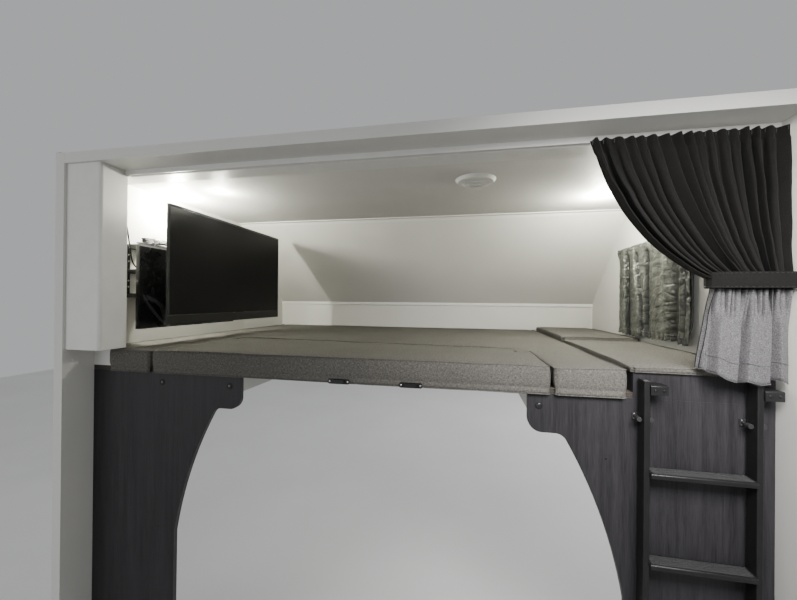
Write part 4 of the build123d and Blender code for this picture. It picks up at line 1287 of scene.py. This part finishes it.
# One row a set of screws: name, look, slot, body, facing, head radius, places
RING_Y, RING_Z = (389.0, 1011.0), (1499.0, 1891.0)
SCREWS = [
    ("panel_mark_screws", "steel", "black_steel", "root", (0, -1, 0), 3.0, [(-880, 0, 729), (753, 0, 1150)]),
    ("footman_loop_screws", "nickel", "aluminium", "root", (0, -1, 0), 3.6,
     [(x + side, -22.5, 1350) for x in (-119, 138) for side in (-33, 33)]),
    ("tv_frame_wall_screws", "nickel", "aluminium", "root", (1, 0, 0), 4.2,
     [(-1195, y, z) for y in (144, 212) for z in (1690, 1718, 1806, 1836)]),
    ("tv_outlet_screws", "nylon", "white_trim", "root", (1, 0, 0), 3.0, [(-1195, 80, 1942), (-1195, 80, 2038)]),
    ("window_ring_screws", "nylon", "white_trim", "root", (-1, 0, 0), 3.2,
     [(1194, 460 + 120 * k, z) for k in range(5) for z in RING_Z]
     + [(1194, y, 1560 + 90 * k) for k in range(4) for y in RING_Y]),
    ("curtain_rod_screws", "nylon", "white_trim", "root", (-1, 0, 0), 2.2,
     [(1166, y, z) for y in (340, 1028) for z in (1922.5, 1931.5)]),
    ("ladder_clip_screws", "nickel", "aluminium", "root", (0, -1, 0), 2.4,
     [(x, -4, 1290 + z) for x in (830.2, 861.8, 1114.2, 1145.8) for z in (-6.5, 6.5)]),
    ("ladder_hook_rivets", "steel", "black_steel", "ladder", (0, -1, 0), 4.0,
     [(x, -53, 1381) for x in (866, 889, 1150, 1173)]),
    ("tv_board_bolts", "steel", "black_steel", "tv_swing", (1, 0, 0), 6.5,
     [(-1030, y, z) for y in (215, 335) for z in (1705, 1817)]),
    ("tv_tilt_bolts", "nickel", "aluminium", "tv", (-1, 0, 0), 5.0,
     [(-974, y, z) for y in (479, 563) for z in (1742, 1826)]),
    ("tv_cheek_bolts", "nickel", "aluminium", "tv_swing", (1, 0, 0), 4.6,
     [(-1026, y, z) for y in (491, 551) for z in (1734, 1834)]),
    ("cable_block_screws", "steel", "black_steel", "tv_swing", (0, 0, 1), 2.6,
     [(-1046, 284, 1894), (-1032, 284, 1894)]),
    ("roof_rail_screws", "aluminium", "aluminium", "root", (0, 0, 1), 4.0,
     [(side * 1233, -100 + 118 * k, 2197) for side in (-1, 1) for k in range(9)]),
]


def make_screws():
    draw = random.Random(11)
    for name, look, slot, body, normal, radius, places in SCREWS:
        build = Build()
        for place in places:
            pan_screw(build, at(*place), normal, radius / 1000, roll=draw.uniform(0, 1.5))
        piece(name, build, look, slot, body)


def make_panel_caps():
    """Domed covers on cup washers, over the screws that hold the partition panels."""
    build = Build()
    cup = [(0.0115, 0), (0.0115, 0.0012), (0.0105, 0.0022), (0.0088, 0.0024), (0.0086, 0.0012)]
    dome = [(0.0084, 0.0008), (0.0084, 0.0026), (0.0072, 0.0038), (0.0045, 0.0046), (0, 0.0048)]
    for x, z in ((-867, 1304), (-566, 1304), (554, 1303)):
        build.add(*lathe(cup, 28), facing(at(x, 0, z), (0, -1, 0)), 1)
        build.add(*lathe(dome, 28), facing(at(x, 0, z), (0, -1, 0)))
    piece("panel_screw_caps", build, "gloss", "black_moulding", looks=("chin",))


def rim_loops(node, axis, value, reach=0.0006):
    """Closed outlines, as lists of points, of a CAD node's flat face at this place on an axis."""
    data = NODES[node].data
    shared = {}
    for face in data.polygons:
        corners = [data.vertices[i].co for i in face.vertices]
        if any(abs(c[axis] - value) > reach for c in corners):
            continue
        keys = [tuple(round(x, 5) for x in c) for c in corners]
        for a, b in zip(keys, keys[1:] + keys[:1]):
            shared[frozenset((a, b))] = shared.get(frozenset((a, b)), 0) + 1
    edges = [tuple(e) for e, count in shared.items() if count == 1 and len(e) == 2]
    numbers = {}
    for e in sorted(edges):
        for p in sorted(e):
            numbers.setdefault(p, len(numbers))
    places = list(numbers)
    return [[Vector(places[i]) for i in loop]
            for loop in chains(sorted(tuple(sorted((numbers[a], numbers[b]))) for a, b in edges))]


def make_edge_bands():
    """Black edge banding round the arch of the two partition panels."""
    build = Build()
    low, high = at(0, 0, 1).z, at(0, 0, 1341.5).z
    for side, node in ((-1, "bulkhead_left"), (1, "bulkhead_right")):
        loop = rim_loops(node, 1, at(0, 0, 0).y)[0]
        keep = [p for p in loop if abs(p.x) < 1.195]
        first = max(range(len(keep)), key=lambda i: (keep[i] - keep[i - 1]).length)
        line = keep[first:] + keep[:first]
        if line[0].z < line[-1].z:
            line.reverse()
        line = [Vector((p.x, at(0, 9, 0).y, min(high, max(low, p.z)))) for p in line]
        out = -1 if side * (line[-1] - line[0]).dot(Vector((1, 0, 0))) > 0 else 1
        section = [(0.0, -0.0093), (0.0011, -0.0086), (0.0011, 0.0086), (0.0, 0.0093)]
        section = [(a * out * side, b) for a, b in section]
        sweep(build, line, section, up=(0, 1, 0))
    piece("panel_edge_bands", build, "rough_black", "dark_laminate")


def make_header_details():
    """A black strip in the curtain track's slot, painted shade for the channel's dark inside, and the track's end
    stops.
    """
    build = Build()
    # painted shade: a black strip fills the track's slot, where the channel lies in shade
    block(build, at(-1038, -9.8, 2137.5), at(1198, -5.2, 2140.5), 0.0004)
    piece("curtain_track_slot_shade", build, "rough_black", "black_moulding")
    stops = Build()
    for x in (-1036, 1188):
        block(stops, at(x, -13, 2131), at(x + 9, -2, 2137), 0.001)
    piece("curtain_track_stops", stops, "nylon", "white_trim")


# Inner corner lines: pairs of (X, Y, Z) between which a bead of sealant lies
INNER_BEADS = [
    ((-1199, 90, 2154), (-1199, 945, 2154)), ((1199, 90, 2154), (1199, 945, 2154)),
    ((-1199, 985, 2135), (-1199, 1527, 1629)), ((1199, 985, 2135), (1199, 1527, 1629)),
    ((-1199, 1533, 1600), (-1199, 1533, 1432)), ((1199, 1533, 1600), (1199, 1533, 1455)),
    ((-1199, 60, 1361), (-1199, 1530, 1361)), ((-1036, 87, 2154), (1199, 87, 2154)),
]
OUTER_BEADS = [
    ((-1232, 849, 2198), (1232, 849, 2198)), ((-1212, -118, 2196), (-1212, 846, 2196)),
    ((1212, -118, 2196), (1212, 846, 2196)), ((-1241, -118, 2164), (-1241, 846, 2164)),
    ((1241, -118, 2164), (1241, 846, 2164)),
]


def bead(build, start, end, radius, seed):
    """A hand-run bead whose width wanders a little."""
    count = max(8, round((end - start).length / 0.02))
    line = [start.lerp(end, k / count) for k in range(count + 1)]
    widths = [1.0 + 0.25 * noise.noise(p * 14.0 + Vector((seed, 0, 0))) for p in line]
    sweep(build, line, circle(radius, 6), widths=widths)


def make_sealant():
    inner = Build()
    for k, (a, b) in enumerate(INNER_BEADS):
        bead(inner, at(*a), at(*b), 0.0022, k)
    piece("inner_sealant", inner, "sealant", "white_trim")
    outer = Build()
    for k, (a, b) in enumerate(OUTER_BEADS):
        bead(outer, at(*a), at(*b), 0.0028, k + 20)
    for side in (-1, 1):
        for loop in rim_loops("nose_cap", 0, side * 1.24):
            keep = [p for p in loop if 0 < p.y]
            widths = [1.0 + 0.25 * noise.noise(p * 14.0) for p in keep]
            sweep(outer, keep, circle(0.0024, 6), closed=True, widths=widths)
    piece("outer_sealant", outer, "sealant", "white_trim")


def make_rail_inserts():
    """Vinyl strip that covers the middle of each roof rail, and the small screws in its skirt."""
    strip = Build()
    skirt = Build()
    for side in (-1, 1):
        x = sorted((side * 1219, side * 1228))
        block(strip, at(x[0], -119, 2196.8), at(x[1], 848, 2198.4), 0.0006)
        for k in range(8):
            pan_screw(skirt, at(side * 1242, -90 + 130 * k, 2180), (side, 0, 0), 0.0038, roll=0.7 * k)
    piece("roof_rail_inserts", strip, "rubber", "rubber")
    piece("roof_rail_skirt_screws", skirt, "aluminium", "aluminium")


# Marker lamps: angle of the nose's upper face, and where the row lies on it
NOSE_RISE, NOSE_RUN = 595.0, 638.0
LAMP_ROW = (-1020, -240, 0, 240, 1020)


def make_lamp_details():
    """Base gasket, lens ribs and two screws for each marker lamp."""
    tilt = math.atan2(NOSE_RISE, NOSE_RUN)
    along = Vector((0, math.cos(tilt), -math.sin(tilt)))
    out = Vector((0, math.sin(tilt), math.cos(tilt)))
    row = at(0, 1012, 2195) + along * 0.180 + out * 0.006
    base = Build()
    ribs = Build()
    for x in LAMP_ROW:
        middle = row + Vector((x / 1000, 0, 0))
        frame_of = Matrix((Vector((1, 0, 0)), along * -1, out)).transposed().to_4x4()
        place = Matrix.Translation(middle) @ frame_of
        base.add(*prism(rounded(0.124, 0.046, 0.014, 5), 0.0, 0.0045, 0.001), place)
        for k in range(9):
            shift = (k - 4) * 0.0085
            points, faces = prism(rounded(0.0022, 0.0165, 0.0010, 2), 0.0198, 0.0212, 0.0003)
            ribs.add([(p[0] + shift, p[1], p[2]) for p in points], faces, place)
        for shift in (-0.0565, 0.0565):
            pan_screw(base, middle + Vector((shift, 0, 0)) + out * 0.0043, out, 0.0032, 1, 0.4)
    piece("marker_lamp_bases", base, "rough_black", "black_moulding", looks=("nickel",))
    piece("marker_lamp_ribs", ribs, "amber", "amber_lens")


def window_line(grow, x, steps=8):
    ring = rounded(0.600 + 2 * grow, 0.370 + 2 * grow, 0.060 + grow, steps)
    middle = at(0, 700, 1695)
    return [Vector((x / 1000, middle.y + a, middle.z + b)) for a, b in ring]


def make_window_details():
    """Seals round the frame and the panes, the sliding pane's latch, and the drain covers."""
    seal = Build()
    sweep(seal, window_line(0.0275, 1241), circle(0.003, 8), closed=True, up=(1, 0, 0))
    sweep(seal, window_line(-0.0155, 1241), circle(0.0016, 6), closed=True, up=(1, 0, 0))
    sweep(seal, window_line(0.0235, 1196), circle(0.0014, 6), closed=True, up=(1, 0, 0))
    for y in (688.2, 711.8):
        sweep(seal, [at(1226.5, y, 1526), at(1226.5, y, 1864)], circle(0.0024, 6))
    piece("window_seals", seal, "rubber", "rubber")
    latch = Build()
    block(latch, at(1208, 716, 1670), at(1223.5, 730, 1720), 0.002)
    block(latch, at(1199, 719, 1680), at(1209, 727, 1710), 0.0025)
    for y in (470, 700, 930):
        block(latch, at(1241, y - 14, 1487), at(1245.4, y + 14, 1494), 0.001)
    piece("window_latch_and_drains", latch, "rough_black", "black_moulding")


# Ladder
TREAD_TOPS = (1140, 876, 612, 348)


def make_ladder_details():
    """Grip strips, stile caps, weld beads and foot ribs."""
    grips = Build()
    for top in TREAD_TOPS:
        block(grips, at(860, -54, top - 0.2), at(1116, -14, top + 0.9), 0.0004)
        for k in range(7):
            y = -51 + 5.7 * k
            sweep(grips, [at(862, y, top + 0.8), at(1114, y, top + 0.8)], circle(0.0011, 6))
    piece("ladder_tread_grips", grips, "rubber", "rubber", "ladder")
    caps = Build()
    for x in (838, 1122):
        block(caps, at(x + 0.4, -49.6, 1404.6), at(x + 15.6, -8.4, 1407.6), 0.0011)
        for top in TREAD_TOPS:
            inner = x + 16.6 if x < 900 else x - 0.6
            line = [at(inner, -50, top - 13), at(inner, -50.4, top - 4), at(inner, -49, top + 0.6),
                    at(inner, -30, top + 0.6), at(inner, -12, top + 0.6)]
            run = []
            for a, b in zip(line, line[1:]):
                run += [a.lerp(b, k / 7) for k in range(7)]
            widths = [1.0 + 0.35 * math.sin(i * 1.9) for i in range(len(run))]
            sweep(caps, run, circle(0.0013, 6), mark=1, widths=widths)
    piece("ladder_caps_and_welds", caps, "rough_black", "black_steel", "ladder", looks=("steel",))
    ribs = Build()
    for x in (838, 1122):
        for k in range(5):
            ring = [at(x + 8 + a * 1000, -29 + b * 1000, 44 + 5.2 * k) for a, b in rounded(0.0205, 0.0465, 0.002, 2)]
            sweep(ribs, ring, circle(0.0008, 6), closed=True)
    piece("ladder_foot_ribs", ribs, "rubber", "rubber", "ladder")


# Television
TV_Y, TV_Z = (76.0, 966.0), (1524.0, 2044.0)


def make_tv_details():
    """Bright line round the screen's frame, sensor window, speaker slots, sockets and keys."""
    middle = at(-920, sum(TV_Y) / 2, sum(TV_Z) / 2)
    ring = [Vector((middle.x, middle.y + a, middle.z + b)) for a, b in rounded(0.8895, 0.5195, 0.005, 4)]
    line = Build()
    sweep(line, ring, circle(0.0011, 6), closed=True, up=(1, 0, 0))
    inner = [Vector((middle.x, middle.y + a, middle.z + 0.0165 + b)) for a, b in rounded(0.8722, 0.4680, 0.001, 2)]
    sweep(line, inner, circle(0.0007, 6), closed=True, mark=1, up=(1, 0, 0))
    piece("tv_frame_line", line, "chin", "black_moulding", "tv", looks=("gloss",))
    small = Build()
    block(small, at(-918.3, 500, 1529), at(-917.4, 542, 1535), 0.0004)
    for k in range(46):
        for start in (120, 660):
            y = start + 5.0 * k
            block(small, at(-918.4, y, 1527.5), at(-917.7, y + 2.6, 1530.5), 0)
    for k in range(4):
        block(small, at(-952, 520 + 16 * k, 1562.4), at(-944, 530 + 16 * k, 1565.2), 0.0008)
    piece("tv_sensor_and_speaker_slots", small, "gloss", "black_moulding", "tv")
    ports = Build()
    bay = -957.0
    for k, y in enumerate((300, 322, 344)):
        block(ports, at(bay - 2.5, y, 1682), at(bay + 0.5, y + 15, 1688), 0.0006)
        block(ports, at(bay - 2.9, y + 2, 1683.6), at(bay - 2.4, y + 13, 1686.4), 0, 1)
    for y, z in ((306, 1662), (324, 1662), (342, 1662)):
        ports.add(*lathe([(0.0048, 0), (0.0048, 0.004), (0.0036, 0.0044), (0.0034, 0.0015), (0, 0.0015)], 20),
                  facing(at(bay + 0.5, y, z), (-1, 0, 0)))
    ports.add(*lathe([(0.0055, 0), (0.0055, 0.003), (0.0047, 0.003), (0.0047, 0.0095), (0.002, 0.0095),
                      (0.002, 0.004), (0, 0.004)], 20), facing(at(bay + 0.5, 376, 1671), (-1, 0, 0)))
    block(ports, at(bay - 2.5, 360, 1650), at(bay + 0.5, 371, 1654.5), 0.0005)
    piece("tv_sockets", ports, "nickel", "aluminium", "tv", looks=("gloss",))


def make_board_details():
    """White edging on the board's top, its brightness partly a painted highlight, spacers and cap nuts on the hinge,
    and the webbing that frees its latch.
    """
    edge = Build()
    # painted highlight: the white of this edging stands partly for the lamp's bright line along the board's top edge
    block(edge, at(-1030.2, 46, 1859), at(-1029, 660, 1867.2), 0.0003)
    block(edge, at(-1048, 46, 1865.6), at(-1029, 268, 1867.2), 0.0003)
    block(edge, at(-1048, 300, 1865.6), at(-1029, 660, 1867.2), 0.0003)
    piece("tv_board_highlight_edging", edge, "nylon", "white_trim", "tv_swing")
    band = Build()
    block(band, at(-1048.2, 45.4, 1508), at(-1029.8, 46.1, 1865), 0.0002)
    piece("tv_board_edge_band", band, "jacket", "black_moulding", "tv_swing")
    hinge = Build()
    washer = [(0.0066, 0), (0.0125, 0), (0.0125, 0.0014), (0.0066, 0.0014)]
    for z in (1660.3, 1738.3, 1770.3, 1862.3):
        hinge.add(*lathe(washer + washer[:1], 28), Matrix.Translation(at(-1078, 160, z)))
    nut = [(0.0, -0.0065), (0.004, -0.006), (0.0062, -0.0038), (0.0068, -0.001), (0.0095, 0.0), (0.0095, 0.0028),
           (0.0062, 0.0028)]
    hinge.add(*lathe(nut, 28), Matrix.Translation(at(-1078, 160, 1637.0)))
    hinge.add(*lathe([(r, -h) for r, h in nut], 28), Matrix.Translation(at(-1078, 160, 1887.0)))
    piece("tv_hinge_washers_and_nuts", hinge, "nickel", "aluminium")
    strap = Build()
    path = [(-1028.6, 60, 1650), (-1027.6, 66, 1636), (-1023.5, 94, 1598), (-1018.5, 124, 1560),
            (-1013.0, 150, 1531), (-1009.5, 162, 1519), (-1010.5, 171, 1514), (-1015.0, 174, 1519),
            (-1019.0, 168, 1540), (-1021.5, 160, 1575), (-1022.5, 148, 1604), (-1025.0, 118, 1628),
            (-1028.0, 82, 1641), (-1028.8, 64, 1648)]
    line = []
    for a, b in zip(path, path[1:]):
        line += [at(*[lerp(p, q, k / 4) for p, q in zip(a, b)]) for k in range(4)]
    line.append(at(*path[-1]))
    web = [(-0.0005, -0.0095), (0.0005, -0.0095), (0.0008, 0.0), (0.0005, 0.0095), (-0.0005, 0.0095),
           (-0.0002, 0.0)]
    sweep(strap, line, web, up=(1, 0, 0))
    block(strap, at(-1030, 54, 1640), at(-1027.4, 78, 1656), 0.0008, 1)
    pan_screw(strap, at(-1027.4, 66, 1648), (1, 0, 0), 0.0042, 1)
    piece("tv_release_webbing", strap, "webbing", "black_moulding", "tv_swing", looks=("steel",))


# Stage
FLOOR_Z = -2.175


def make_stage():
    bm = bmesh.new()
    half = 9.0
    corners = [(-half, -half), (half, -half), (half, half), (-half, half)]
    bm.faces.new([bm.verts.new((x, y, FLOOR_Z)) for x, y in corners])
    data = bpy.data.meshes.new("floor")
    bm.to_mesh(data)
    floor = bpy.data.objects.new("floor", data)
    bpy.context.scene.collection.objects.link(floor)
    s = Shader("pale_floor", (0.72, 0.72, 0.71), 0.6)
    s.colour(s.mix(s.span(s.noise(0.7, 3), 0.3, 0.7), (0.70, 0.70, 0.69), (0.74, 0.74, 0.73)))
    data.materials.append(s.material)


def area_light(name, place, target, size, watts, colour, spread):
    data = bpy.data.lights.new(name, "AREA")
    data.shape = "RECTANGLE"
    data.size, data.size_y = size
    data.energy = watts
    data.color = colour
    data.spread = math.radians(spread)
    light = bpy.data.objects.new(name, data)
    bpy.context.scene.collection.objects.link(light)
    light.location = place
    light.rotation_mode = "QUATERNION"
    light.rotation_quaternion = (Vector(target) - Vector(place)).to_track_quat("-Z", "Y")


# One row a light: name, place, what it faces (both millimetres), size in metres, watts, colour, spread
LIGHTS = [
    ("key", (850, -950, 2135), (1000, 0, 1300), (0.8, 0.5), 17, (1.0, 0.985, 0.98), 100),
    ("fill", (-2600, -3400, 1500), (0, 0, 1300), (2.4, 2.4), 36, (0.97, 0.98, 1.0), 180),
    ("outside", (3200, 4600, 3200), (0, 900, 1500), (3.0, 3.0), 160, (1.0, 1.0, 1.0), 180),
]
# Small round ones under the alcove's ceiling: behind the set, behind the curtain, over the screen
ALCOVE_LAMPS = (((-1110, 330, 2090), 40.0), ((960, 640, 2110), 25.0), ((-850, 300, 2115), 8.0))


def make_lights():
    for name, place, target, size, watts, colour, spread in LIGHTS:
        area_light(name, at(*place), at(*target), size, watts, colour, spread)
    for place, watts in ALCOVE_LAMPS:
        data = bpy.data.lights.new("alcove_lamp", "POINT")
        data.energy = watts
        data.color = (1.0, 0.99, 0.86)
        data.shadow_soft_size = 0.03
        lamp = bpy.data.objects.new("alcove_lamp", data)
        bpy.context.scene.collection.objects.link(lamp)
        lamp.location = at(*place)
        lamp.visible_camera = False
    world = bpy.context.scene.world or bpy.data.worlds.new("world")
    bpy.context.scene.world = world
    world.use_nodes = True
    back = world.node_tree.nodes["Background"]
    back.inputs["Color"].default_value = (0.87, 0.88, 0.9, 1)
    back.inputs["Strength"].default_value = 0.5


make_camera()
dress_nodes()
make_cushions()
make_privacy_curtain()
make_tieback()
make_window_curtain()
make_lead()
make_hanks()
soften_edges()
make_screws()
make_panel_caps()
make_edge_bands()
make_header_details()
make_sealant()
make_rail_inserts()
make_lamp_details()
make_window_details()
make_ladder_details()
make_tv_details()
make_board_details()
make_stage()
make_lights()
